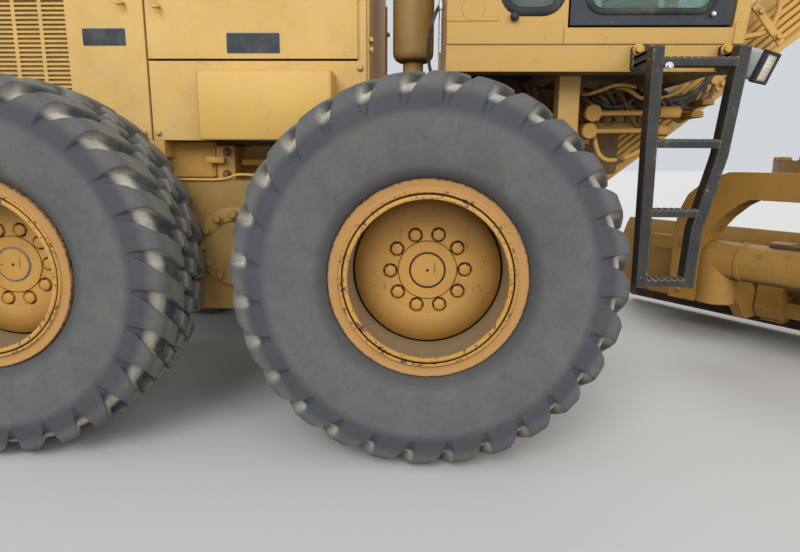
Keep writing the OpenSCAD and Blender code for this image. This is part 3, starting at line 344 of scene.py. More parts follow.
def stretched(tree, vector, scale):
    """A vector scaled by axis."""
    return add_node(tree, "ShaderNodeMapping", {"Vector": vector, "Scale": scale}).outputs[0]


def new_group(name, inputs, outputs):
    """A shader node group with named inputs (name, kind, default) and outputs (name, kind)."""
    tree = bpy.data.node_groups.new(name, "ShaderNodeTree")
    for label, kind, value in inputs:
        s = tree.interface.new_socket(name=label, in_out="INPUT", socket_type=kind)
        if value is not None:
            s.default_value = value
    for label, kind in outputs:
        tree.interface.new_socket(name=label, in_out="OUTPUT", socket_type=kind)
    return tree, tree.nodes.new("NodeGroupInput").outputs, tree.nodes.new("NodeGroupOutput").inputs


def build_edge_group():
    """Worn edges: where the surface's own normal leaves the normal of a rounded copy of it."""
    t, i, o = new_group(
        "Worn edges", [("Radius", "NodeSocketFloat", 0.006)],
        [("Edge", "NodeSocketFloat"), ("Normal", "NodeSocketVector")])
    soft = add_node(t, "ShaderNodeBevel", {"Radius": i["Radius"]}, samples=4).outputs[0]
    true = add_node(t, "ShaderNodeNewGeometry").outputs["Normal"]
    dot = add_node(t, "ShaderNodeVectorMath", {0: soft, 1: true}, operation="DOT_PRODUCT").outputs["Value"]
    t.links.new(spread(t, dot, 0.985, 0.80), o["Edge"])
    t.links.new(soft, o["Normal"])
    return t


def build_paint_group(edges):
    """Weathered paint: slow fading, fine mottling, runs of dirt down the sides, painted shade with grime on
    the faces that look down, chips to rust, most of them on edges."""
    t, i, o = new_group(
        "Weathered paint", [
            ("Paint", "NodeSocketColor", (0.6, 0.3, 0.05, 1)),
            ("Faded", "NodeSocketColor", (0.7, 0.5, 0.2, 1)),
            ("Rust", "NodeSocketColor", (0.1, 0.04, 0.03, 1)),
            ("Dirt", "NodeSocketColor", (0.3, 0.27, 0.2, 1)), ("Fading", "NodeSocketFloat", 0.5),
            ("Chipping", "NodeSocketFloat", 0.4), ("Dirtiness", "NodeSocketFloat", 0.3),
            ("Gloss", "NodeSocketFloat", 0.45)],
        [
            ("Color", "NodeSocketColor"), ("Roughness", "NodeSocketFloat"), ("Height", "NodeSocketFloat"),
            ("Metal", "NodeSocketFloat")])
    at = add_node(t, "ShaderNodeTexCoord").outputs["Object"]
    g = t.nodes.new("ShaderNodeGroup")
    g.node_tree = edges
    g.inputs["Radius"].default_value = 0.006
    edge = g.outputs["Edge"]
    slow = noise(t, at, 1.6, 5.0, 0.6)
    fine = noise(t, at, 14.0, 6.0, 0.65)
    runs = noise(t, stretched(t, at, (22.0, 22.0, 1.1)), 1.0, 5.0, 0.6)
    speck = noise(t, at, 120.0, 3.0, 0.6)
    patch = noise(t, at, 9.0, 4.0, 0.6)
    fade = maths(
        t, "MULTIPLY",
        spread(t, maths(t, "MULTIPLY_ADD", slow, 0.7, maths(t, "MULTIPLY", fine, 0.3)), 0.36, 0.66),
        i["Fading"])
    colour = mixed(t, fade, i["Paint"], i["Faded"])
    colour = mixed(t, maths(t, "MULTIPLY", spread(t, fine, 0.45, 0.75), 0.16), colour, i["Dirt"])
    streak = maths(t, "MULTIPLY", spread(t, runs, 0.52, 0.78), i["Dirtiness"])
    film = maths(t, "MULTIPLY", spread(t, patch, 0.42, 0.74), maths(t, "MULTIPLY", i["Dirtiness"], 0.55))
    colour = mixed(t, maths(t, "MAXIMUM", streak, film), colour, i["Dirt"])
    # Painted shade: faces that look down turn dark brown and rougher, mottled with grime.
    facing = add_node(
        t, "ShaderNodeSeparateXYZ", {0: add_node(t, "ShaderNodeTexCoord").outputs["Normal"]}).outputs["Z"]
    under = maths(t, "MULTIPLY", spread(t, facing, -0.55, -0.95), spread(t, patch, 0.20, 0.50, 0.6, 0.9))
    colour = mixed(t, under, colour, srgb(50, 40, 30))
    spots = spread(t, maths(t, "MULTIPLY_ADD", patch, 0.5, maths(t, "MULTIPLY", speck, 0.5)), 0.62, 0.655)
    worn = spread(
        t,
        maths(
            t, "ADD", maths(t, "MULTIPLY", edge, 0.34),
            maths(t, "MULTIPLY_ADD", speck, 0.62, maths(t, "MULTIPLY", patch, 0.25))),
        0.60, 0.66)
    chip = maths(
        t, "MULTIPLY", maths(t, "MAXIMUM", spots, maths(t, "MULTIPLY", worn, spread(t, edge, 0.05, 0.4))),
        i["Chipping"], clamp=True)
    colour = mixed(t, chip, colour, i["Rust"])
    t.links.new(colour, o["Color"])
    t.links.new(
        maths(
            t, "ADD", maths(t, "MULTIPLY_ADD", fine, 0.18, i["Gloss"]),
            maths(t, "MAXIMUM", maths(t, "MULTIPLY", chip, 0.3), maths(t, "MULTIPLY", under, 0.6)),
            clamp=True),
        o["Roughness"])
    t.links.new(maths(t, "SUBTRACT", maths(t, "MULTIPLY", fine, 0.25), chip), o["Height"])
    t.links.new(maths(t, "MULTIPLY", chip, 0.15), o["Metal"])
    return t


# The shader groups that several materials share
GROUPS = {}


def group_node(tree, key, **inputs):
    """Places a shared group in a material with this material's own values."""
    g = tree.nodes.new("ShaderNodeGroup")
    g.node_tree = GROUPS[key]
    for label, value in inputs.items():
        label = label.replace("_", " ")
        if isinstance(value, bpy.types.NodeSocket):
            tree.links.new(value, g.inputs[label])
        else:
            g.inputs[label].default_value = value
    return g


def new_material(name):
    """An empty material with one Principled shader; gives the material, its tree and the shader."""
    m = bpy.data.materials.new(name)
    m.use_nodes = True
    return m, m.node_tree, m.node_tree.nodes["Principled BSDF"]


def paint_material(
    name, paint, faded, fading=0.5, chipping=0.4, dirtiness=0.3, gloss=0.42, dirt=None, rust=None,
    radius=0.006):
    """Weathered machine paint with softened edges."""
    c = bpy.context.scene.grader_colours
    m, t, shader = new_material(name)
    g = group_node(
        t, "paint", Paint=paint, Faded=faded, Rust=rust or tuple(c.rust), Dirt=dirt or tuple(c.dust),
        Fading=fading, Chipping=chipping, Dirtiness=dirtiness, Gloss=gloss)
    e = group_node(t, "edges", Radius=radius)
    bump = add_node(
        t, "ShaderNodeBump",
        {
            "Height": g.outputs["Height"], "Strength": 0.35, "Distance": 0.0012,
            "Normal": e.outputs["Normal"]})
    t.links.new(g.outputs["Color"], shader.inputs["Base Color"])
    t.links.new(g.outputs["Roughness"], shader.inputs["Roughness"])
    t.links.new(g.outputs["Metal"], shader.inputs["Metallic"])
    t.links.new(bump.outputs[0], shader.inputs["Normal"])
    shader.inputs["Specular IOR Level"].default_value = 0.4
    return m


def hub_radius(tree):
    """Distance from the wheel's axle, from the hub places that the wheel pieces carry."""
    a = add_node(tree, "ShaderNodeAttribute", attribute_name="hub_place").outputs["Vector"]
    flat = add_node(tree, "ShaderNodeVectorMath", {0: a, 1: (1.0, 0.0, 1.0)}, operation="MULTIPLY").outputs[0]
    return a, add_node(tree, "ShaderNodeVectorMath", {0: flat}, operation="LENGTH").outputs["Value"]


def rubber_material():
    """Aged tyre rubber: dusty lug faces, bluish painted shade in the middle grooves, painted sunlight on the
    shoulder pockets' floors, a dark band below the lugs, painted shade near the bead and rings moulded
    near the bead."""
    c = bpy.context.scene.grader_colours
    m, t, shader = new_material("aged_rubber")
    at, r = hub_radius(t)
    lug = add_node(t, "ShaderNodeAttribute", attribute_name="tone").outputs["Fac"]
    wide = noise(t, at, 4.0, 5.0, 0.6)
    mid = noise(t, at, 15.0, 6.0, 0.66, 0.6)
    fine = noise(t, at, 90.0, 5.0, 0.7)
    scuff = noise(t, stretched(t, at, (60.0, 60.0, 9.0)), 1.0, 4.0, 0.6, 1.2)
    colour = mixed(
        t, spread(t, maths(t, "MULTIPLY_ADD", wide, 0.45, maths(t, "MULTIPLY", mid, 0.55)), 0.34, 0.68),
        tuple(c.rubber), srgb(98, 97, 92))
    colour = mixed(t, maths(t, "MULTIPLY", spread(t, fine, 0.5, 0.8), 0.35), colour, srgb(118, 116, 110))
    colour = mixed(t, maths(t, "MULTIPLY", spread(t, scuff, 0.58, 0.76), 0.3), colour, srgb(58, 60, 62))
    band = maths(t, "MULTIPLY", spread(t, r, 0.515, 0.555), spread(t, r, 0.625, 0.585))
    colour = mixed(
        t, maths(t, "MULTIPLY", band, maths(t, "MULTIPLY_ADD", wide, 0.9, 0.25)), colour, srgb(58, 61, 68))
    # Painted shade: a dark ring near the bead, where the sidewall turns in.
    bead = maths(t, "MULTIPLY", spread(t, r, 0.385, 0.35), 0.6)
    colour = mixed(t, bead, colour, srgb(66, 66, 66))
    # Painted light in the pockets between the lugs: bluish painted shade in the middle grooves, painted
    # sunlight on the floors of the shoulder pockets.
    groove = maths(t, "MULTIPLY", spread(t, r, 0.590, 0.615), maths(t, "SUBTRACT", 1.0, lug), clamp=True)
    beige = spread(
        t, maths(t, "ABSOLUTE", add_node(t, "ShaderNodeSeparateXYZ", {0: at}).outputs["Y"]), 0.120, 0.160)
    sunlit_pocket_floor = mixed(t, spread(t, mid, 0.40, 0.64), srgb(168, 163, 149), srgb(200, 193, 176))
    colour = mixed(
        t, maths(t, "MULTIPLY", groove, 0.92), colour,
        mixed(
            t, beige, mixed(t, spread(t, mid, 0.4, 0.62), srgb(58, 64, 72), srgb(100, 97, 88)), sunlit_pocket_floor))
    crown = maths(t, "MULTIPLY", spread(t, r, 0.654, 0.6645), lug, clamp=True)
    colour = mixed(
        t, maths(t, "MULTIPLY", crown, maths(t, "MULTIPLY_ADD", mid, 0.6, 0.35)), colour,
        srgb(128, 125, 114))
    t.links.new(colour, shader.inputs["Base Color"])
    t.links.new(maths(t, "MULTIPLY_ADD", fine, 0.15, 0.72), shader.inputs["Roughness"])
    rings = maths(
        t, "MULTIPLY", maths(t, "SINE", maths(t, "MULTIPLY", r, 1400.0)),
        maths(t, "MULTIPLY", spread(t, r, 0.43, 0.41), 0.4))
    ribs = maths(t, "MULTIPLY", maths(t, "COMPARE", r, 0.372, 0.0016), 2.0)
    height = maths(
        t, "ADD", maths(t, "ADD", rings, ribs),
        maths(t, "MULTIPLY_ADD", mid, 2.0, maths(t, "MULTIPLY", fine, 1.0)))
    bump = add_node(t, "ShaderNodeBump", {"Height": height, "Strength": 0.4, "Distance": 0.0012})
    t.links.new(bump.outputs[0], shader.inputs["Normal"])
    shader.inputs["Specular IOR Level"].default_value = 0.28
    return m


def rim_material():
    """Ochre rim paint: chipped ridges, a brownish flange, dust that lies in the barrel, painted shade on the
    disc towards its edge, and gaps and nut recesses painted dark as shade.
    """
    c = bpy.context.scene.grader_colours
    m, t, shader = new_material("rim_paint")
    at, r = hub_radius(t)
    tone = add_node(t, "ShaderNodeAttribute", attribute_name="tone").outputs["Fac"]
    g = group_node(
        t, "paint", Paint=srgb(184, 136, 60), Faded=srgb(198, 152, 78), Rust=tuple(c.rust),
        Dirt=srgb(138, 108, 62), Fading=0.6, Chipping=0.8, Dirtiness=0.35, Gloss=0.42)
    mid = noise(t, at, 22.0, 6.0, 0.68)
    fine = noise(t, at, 75.0, 5.0, 0.7)
    colour = mixed(
        t,
        maths(
            t, "MULTIPLY", maths(t, "COMPARE", tone, 1.0, 0.2), maths(t, "MULTIPLY_ADD", mid, 0.7, 0.25)),
        g.outputs["Color"], srgb(158, 116, 72))
    chips = maths(
        t, "MULTIPLY", maths(t, "COMPARE", tone, 2.0, 0.2),
        spread(t, maths(t, "MULTIPLY_ADD", mid, 0.45, maths(t, "MULTIPLY", fine, 0.55)), 0.535, 0.575))
    edge_rust = maths(t, "MULTIPLY", spread(t, r, 0.322, 0.331), spread(t, fine, 0.42, 0.6))
    colour = mixed(t, maths(t, "MAXIMUM", chips, edge_rust), colour, srgb(84, 60, 60))
    barrel = maths(
        t, "MULTIPLY", maths(t, "COMPARE", tone, 3.0, 0.2), maths(t, "MULTIPLY_ADD", mid, 0.5, 0.6),
        clamp=True)
    colour = mixed(t, barrel, colour, srgb(140, 126, 102))
    # Painted shade: the domed disc darkens towards its outer edge.
    disc_edge_shade = maths(t, "MULTIPLY", maths(t, "COMPARE", tone, 4.0, 0.2), spread(t, r, 0.12, 0.262))
    colour = mixed(t, maths(t, "MULTIPLY", disc_edge_shade, 0.8), colour, srgb(122, 82, 26))
    # Tone 5, the gaps, grooves and nut recesses: painted shade, near black.
    colour = mixed(
        t, spread(t, maths(t, "ABSOLUTE", maths(t, "SUBTRACT", tone, 5.0)), 0.45, 0.05), colour,
        srgb(44, 32, 20))
    colour = mixed(t, maths(t, "COMPARE", tone, 6.0, 0.2), colour, srgb(134, 136, 132))
    runs = noise(t, stretched(t, at, (60.0, 60.0, 12.0)), 1.0, 5.0, 0.65)
    spots = maths(
        t, "MULTIPLY", spread(t, runs, 0.60, 0.68),
        maths(t, "MULTIPLY", maths(t, "COMPARE", tone, 4.0, 0.2), 0.6))
    colour = mixed(t, spots, colour, srgb(92, 60, 24))
    t.links.new(colour, shader.inputs["Base Color"])
    t.links.new(g.outputs["Roughness"], shader.inputs["Roughness"])
    bump = add_node(
        t, "ShaderNodeBump",
        {
            "Height": maths(t, "SUBTRACT", maths(t, "MULTIPLY", fine, 0.5), chips), "Strength": 0.3,
            "Distance": 0.001})
    t.links.new(bump.outputs[0], shader.inputs["Normal"])
    shader.inputs["Specular IOR Level"].default_value = 0.4
    return m


def steel_material(name, colour, dark, gloss=0.34, metal=0.9, scale=30.0):
    """Bare steel with brown-grey staining."""
    m, t, shader = new_material(name)
    at = add_node(t, "ShaderNodeTexCoord").outputs["Object"]
    n = noise(t, at, scale, 6.0, 0.7)
    t.links.new(mixed(t, spread(t, n, 0.38, 0.68), colour, dark), shader.inputs["Base Color"])
    t.links.new(maths(t, "MULTIPLY_ADD", n, 0.3, gloss), shader.inputs["Roughness"])
    e = group_node(t, "edges", Radius=0.004)
    bump = add_node(
        t, "ShaderNodeBump",
        {"Height": n, "Strength": 0.3, "Distance": 0.001, "Normal": e.outputs["Normal"]})
    t.links.new(bump.outputs[0], shader.inputs["Normal"])
    shader.inputs["Metallic"].default_value = metal
    return m


def glass_material():
    """Dusty tinted glass."""
    m, t, shader = new_material("cab_glass_tint")
    at = add_node(t, "ShaderNodeTexCoord").outputs["Object"]
    n = noise(t, at, 6.0, 5.0, 0.6)
    t.links.new(
        mixed(t, spread(t, n, 0.4, 0.7), srgb(176, 202, 194), srgb(200, 212, 204)),
        shader.inputs["Base Color"])
    t.links.new(maths(t, "MULTIPLY_ADD", n, 0.12, 0.02), shader.inputs["Roughness"])
    shader.inputs["Transmission Weight"].default_value = 0.85
    shader.inputs["IOR"].default_value = 1.1
    return m


def fabric_material():
    """Woven seat cloth, pilled and mottled."""
    m, t, shader = new_material("seat_cloth")
    at = add_node(t, "ShaderNodeTexCoord").outputs["Object"]
    weave = add_node(t, "ShaderNodeTexChecker", {"Vector": at, "Scale": 420.0}).outputs["Fac"]
    n = noise(t, at, 25.0, 5.0, 0.65)
    t.links.new(mixed(t, n, srgb(38, 38, 42), srgb(66, 64, 62)), shader.inputs["Base Color"])
    shader.inputs["Roughness"].default_value = 0.9
    bump = add_node(
        t, "ShaderNodeBump", {"Height": maths(t, "ADD", weave, n), "Strength": 0.4, "Distance": 0.0008})
    t.links.new(bump.outputs[0], shader.inputs["Normal"])
    return m


def lens_material(name, colour):
    """Ribbed lamp lens."""
    m, t, shader = new_material(name)
    at = add_node(t, "ShaderNodeTexCoord").outputs["Object"]
    ribs = maths(
        t, "SINE", maths(t, "MULTIPLY", add_node(t, "ShaderNodeSeparateXYZ", {0: at}).outputs["Z"], 520.0))
    n = noise(t, at, 20.0, 4.0, 0.6)
    t.links.new(
        mixed(t, spread(t, n, 0.4, 0.7), colour, tuple(v * 0.8 for v in colour[:3]) + (1.0,)),
        shader.inputs["Base Color"])
    shader.inputs["Roughness"].default_value = 0.15
    bump = add_node(t, "ShaderNodeBump", {"Height": ribs, "Strength": 0.4, "Distance": 0.001})
    t.links.new(bump.outputs[0], shader.inputs["Normal"])
    return m


# Every material, by the name of its finish
M = {}
# Each painted finish: its material's name, paint, faded paint, fading, chipping, dirtiness, gloss
PAINTS = {
    "cab": ("cab_paint", (186, 144, 68), (196, 156, 84), 0.6, 0.3, 0.22, 0.42),
    "box": ("tool_box_paint", (206, 164, 80), (214, 174, 94), 0.6, 0.2, 0.2, 0.42),
    # The tandems' paint is the amber darkened: painted shade, as they sit in shadow under the frame.
    "ochre": ("tandem_shaded_paint", (150, 116, 56), (170, 134, 72), 0.6, 0.5, 0.5, 0.5),
    "deep": ("worn_amber_paint", (160, 116, 46), (188, 146, 72), 0.6, 0.9, 0.5, 0.5),
    "plate": ("bare_plate", (30, 38, 46), (42, 48, 54), 0.6, 0.0, 0.06, 0.35),
    "seal": ("window_seal", (22, 24, 26), (36, 38, 38), 0.5, 0.0, 0.25, 0.55),
    "canister": ("canister_paint", (150, 120, 62), (166, 136, 78), 0.6, 0.3, 0.35, 0.42),
    # The grimy paint is the amber darkened: dirt and painted shade, for parts in the shadow under the cab.
    "grimy": ("grimy_paint", (104, 80, 44), (126, 102, 62), 0.6, 0.6, 0.7, 0.6),
    "rusty": ("rusty_bolt", (120, 84, 44), (138, 104, 60), 0.5, 1.0, 0.4, 0.5),
    "dirt": ("packed_dirt", (74, 56, 44), (100, 82, 62), 0.8, 0.2, 0.7, 0.8),
    "rim_ochre": ("bolt_paint", (196, 146, 60), (206, 158, 76), 0.4, 0.4, 0.25, 0.42),
    "ladder": ("ladder_paint", (26, 27, 28), (44, 44, 43), 0.7, 1.0, 0.22, 0.42),
    "lamp_grey": ("lamp_body", (160, 162, 158), (178, 178, 172), 0.5, 0.2, 0.2, 0.4),
    "hose": ("hose_rubber", (38, 38, 40), (58, 58, 58), 0.6, 0.0, 0.4, 0.6),
}
# Finishes whose chips or dirt have a colour of their own
CHIPS = {"rusty": (66, 42, 36), "ladder": (150, 140, 122), "black": (128, 118, 104)}
DIRTS = {"ochre": (112, 96, 70), "deep": (120, 100, 72), "grimy": (60, 52, 42), "dirt": (50, 38, 34),
         "ladder": (96, 88, 74), "black": (92, 88, 80)}
# Each bare metal: its material's name, colour, darker stain, gloss, metal, scale of the stains
METALS = {
    "steel": ("stained_steel", (134, 132, 128), (96, 84, 72), 0.34, 0.9, 30.0),
    "edge_steel": ("rusty_edge", (110, 92, 78), (70, 50, 40), 0.5, 0.6, 14.0),
    "chrome": ("rod_chrome", (190, 190, 190), (150, 148, 144), 0.12, 1.0, 30.0),
    "zinc": ("bright_zinc", (206, 206, 202), (160, 158, 150), 0.22, 0.85, 30.0),
}
# The CAD nodes that show, by their finish. The others are amber.
NODE_FINISH = {
    node: finish
    for finish, nodes in {
        "pale": "hood_shell engine_door_right engine_door_left side_panel_right side_panel_left",
        "box": "tool_boxes",
        "ochre": "tandem_right tandem_left rear_axle",
        "cab": "cab_shell cab_roof platform",
        "glass": "cab_glass door_glass_right door_glass_left",
        "cloth": "operator_seat",
        "black": "control_console ladders cab_door_right cab_door_left front_lamps rear_grille",
        "red": "rear_lamps",
        "steel": "hood_stacks engine_block axle_pin tie_rod_end",
        "edge_steel": "cutting_edge",
        "chrome": "lift_rod_right lift_rod_left",
        "deep": "blade_circle drawbar blade_frame moldboard",
        "rubber": " ".join(f"tyre_{row}_{side}" for row, side in WHEELS),
        "rim": " ".join(f"rim_{row}_{side}" for row, side in WHEELS),
    }.items()
    for node in nodes.split()}


def build_materials():
    """Makes the shared groups and every material, and gives each CAD node its own finish."""
    c = bpy.context.scene.grader_colours
    GROUPS["edges"] = build_edge_group()
    GROUPS["paint"] = build_paint_group(GROUPS["edges"])
    M["amber"] = paint_material("amber_paint", tuple(c.amber), srgb(208, 166, 88), 0.6, 0.45, 0.3)
    M["pale"] = paint_material("hood_paint", tuple(c.pale), srgb(216, 180, 108), 0.8, 0.35, 0.3, 0.5)
    M["black"] = paint_material(
        "black_paint", tuple(c.black), srgb(44, 52, 58), 0.8, 0.5, 0.15, 0.42,
        dirt=srgb(*DIRTS["black"]), rust=srgb(*CHIPS["black"]))
    for finish, (name, paint, faded, *amounts) in PAINTS.items():
        own = {
            key: srgb(*table[finish]) for key, table in (("dirt", DIRTS), ("rust", CHIPS))
            if finish in table}
        edge = 0.012 if finish == "ladder" else 0.006
        M[finish] = paint_material(name, srgb(*paint), srgb(*faded), *amounts, **own, radius=edge)
    for finish, (name, colour, stain, *amounts) in METALS.items():
        M[finish] = steel_material(name, srgb(*colour), srgb(*stain), *amounts)
    M["glass"] = glass_material()
    M["cloth"] = fabric_material()
    M["lens"] = lens_material("work_lamp_lens", srgb(232, 226, 206))
    M["red"] = lens_material("rear_lamp_lens", srgb(150, 36, 28))
    M["rubber"] = rubber_material()
    M["rim"] = rim_material()
    for name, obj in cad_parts.items():
        obj.data.materials.clear()
        obj.data.materials.append(M[NODE_FINISH.get(name, "amber")])


# Wheels


def hub(row, side):
    """The middle of a wheel, from its tyre's box."""
    lo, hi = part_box(f"tyre_{row}_{side}")
    return np.array((lo + hi) / 2)


def set_wheel(name, shape, row, side, finish, replaced=(), turn=0.0):
    """Sets a wheel piece, drawn round its hub with Y outward, on its axle and keeps its hub places as an
    attribute."""
    s = -1.0 if side == "right" else 1.0
    m = np.eye(4)
    c, k = math.cos(turn), math.sin(turn)
    m[:3, :3] = np.diag([1.0, s, 1.0]) @ np.array([[c, 0, k], [0, 1, 0], [-k, 0, c]])
    m[:3, 3] = hub(row, side)
    local = np.concatenate(shape.points)
    whole = Shape()
    whole.moved(m, shape)
    return make_piece(name, whole, finish, f"wheel_{row}_{side}", 38.0, local, replaced)


def step(x, low, high):
    """Smooth step of an array from 0 to 1."""
    t = np.clip((x - low) / (high - low), 0, 1)
    return t * t * (3 - 2 * t)


def tyre_shape(lugs, depth):
    """Each point is a blend of two turned profiles, groove floor and lug top. The blend is 1 inside long
    shoulder lugs and staggered middle blocks, laid out in pitches round the tyre and metres across it.
    A lug leans back as it goes inward and narrows, and its upper edge runs level over the shoulder
    before it bends."""
    top = np.array([
        (0.317, 0.159), (0.332, 0.170), (0.342, 0.186), (0.354, 0.1975), (0.374, 0.2070),
        (0.402, 0.2140), (0.435, 0.2190), (0.475, 0.2220), (0.515, 0.2225), (0.550, 0.2205),
        (0.580, 0.2165), (0.6065, 0.2110), (0.629, 0.2030), (0.6465, 0.1915), (0.6570, 0.1750),
        (0.6635, 0.1400), (0.6678, 0.0980), (0.6705, 0.0520), (0.6715, 0.0)])
    k = depth / 0.033
    floor = top.copy()
    floor[9:, 0] = [0.553, 0.573, 0.590, 0.6040, 0.6160, 0.6260, 0.6330, 0.6370, 0.6385, 0.6390]
    floor[9:, 1] = [0.2135, 0.2065, 0.1965, 0.1840, 0.1680, 0.1480, 0.1240, 0.0930, 0.0500, 0.0]
    floor[9:] = top[9:] + (floor[9:] - top[9:]) * k
    key = np.concatenate([
        np.linspace(0, 9, 10)[:-1], np.linspace(9, 14, 14)[:-1], np.linspace(14, 16, 7)[:-1],
        np.linspace(16, 18, 15)])
    half_top = np.stack([np.interp(key, np.arange(19), top[:, c]) for c in (0, 1)], -1)
    half_floor = np.stack([np.interp(key, np.arange(19), floor[:, c]) for c in (0, 1)], -1)
    mirror = np.array([1.0, -1.0])
    t_prof = np.vstack([half_top, (half_top * mirror)[::-1][1:]])
    f_prof = np.vstack([half_floor, (half_floor * mirror)[::-1][1:]])
    radial = np.concatenate([key, key[::-1][1:]])
    y = np.abs(t_prof[:, 1])
    outer = t_prof[:, 1] > 0
    places = [0.0, 0.054, 0.103, 0.150, 0.197, 0.223]
    lean = np.interp(y, places, [-0.92, -0.72, -0.49, -0.26, -0.06, 0.0])
    lean = np.where(outer, lean, -1.84 - lean)
    half = np.interp(y, places, [0.25, 0.255, 0.265, 0.28, 0.29, 0.30])
    bend = 0.035 * np.sin(np.clip((y - 0.10) / 0.06, 0, 1) * np.pi)
    # On the shoulder the pocket between two lugs is wide at the tread and closes along one slanting side.
    slant = np.interp(radial, [9, 10, 11, 12, 13, 14, 15], [0.27, 0.23, 0.13, 0.02, -0.09, -0.10, 0.0])
    ahead, behind = half - bend + slant, -half - 0.4 * bend
    # Ten columns a half pitch: five stand close together at each side of a lug, so its walls stay
    # straight and steep.
    wall = 0.040
    near = 0.25 + wall * np.array([-1.0, -0.72, 0.0, 0.72, 1.0])
    half_pitch = np.sort(np.concatenate([near, [0.0, 0.09, 0.16, 0.34, 0.42]]))
    v = (np.arange(lugs)[:, None] + np.concatenate([half_pitch, half_pitch + 0.5])[None]).ravel()[:, None]
    shifted = v + np.where(outer, 0.0, 0.5)[None]
    whole, part = np.floor(shifted + 0.5), (shifted + 0.5) % 1 - 0.5
    rel = np.empty_like(part)
    for c in range(len(y)):
        knots = [-0.5, -0.25 - wall, -0.25 + wall, 0.25 - wall, 0.25 + wall, 0.5]
        rel[:, c] = np.interp(part[:, c], knots, [
            (behind[c] + ahead[c] - 1) / 2, behind[c] - wall, behind[c] + wall, ahead[c] - wall,
            ahead[c] + wall, (behind[c] + ahead[c] + 1) / 2])
    u = whole + rel + lean[None] - np.where(outer, 0.0, 0.5)[None]
    sides = np.maximum(behind[None] - rel, rel - ahead[None]) / wall
    long_lug = np.maximum(sides, (0.062 + 0.018 * rel - y[None]) / 0.0035)
    rel_mid = (rel + 1.0) % 1 - 0.5
    block = np.maximum(
        (np.abs(rel_mid) - 0.215) / wall, (np.abs(y[None] - 0.0285 - 0.018 * rel_mid) - 0.0245) / 0.0035)
    distance = np.minimum(long_lug, np.where(y[None] < 0.075, block, 9.0))
    mask = 1 - step(distance, -1.0, 1.0)
    mask = np.where(radial[None] <= 9.02, 1.0, mask)
    p = f_prof[None] + mask[..., None] * (t_prof - f_prof)[None]
    a = 2 * np.pi * u / lugs
    pts = np.stack([np.cos(a) * p[..., 0], p[..., 1], np.sin(a) * p[..., 0]], -1)
    s = Shape()
    s.grid(pts, close_u=True, tag=mask, flip=True)
    return s


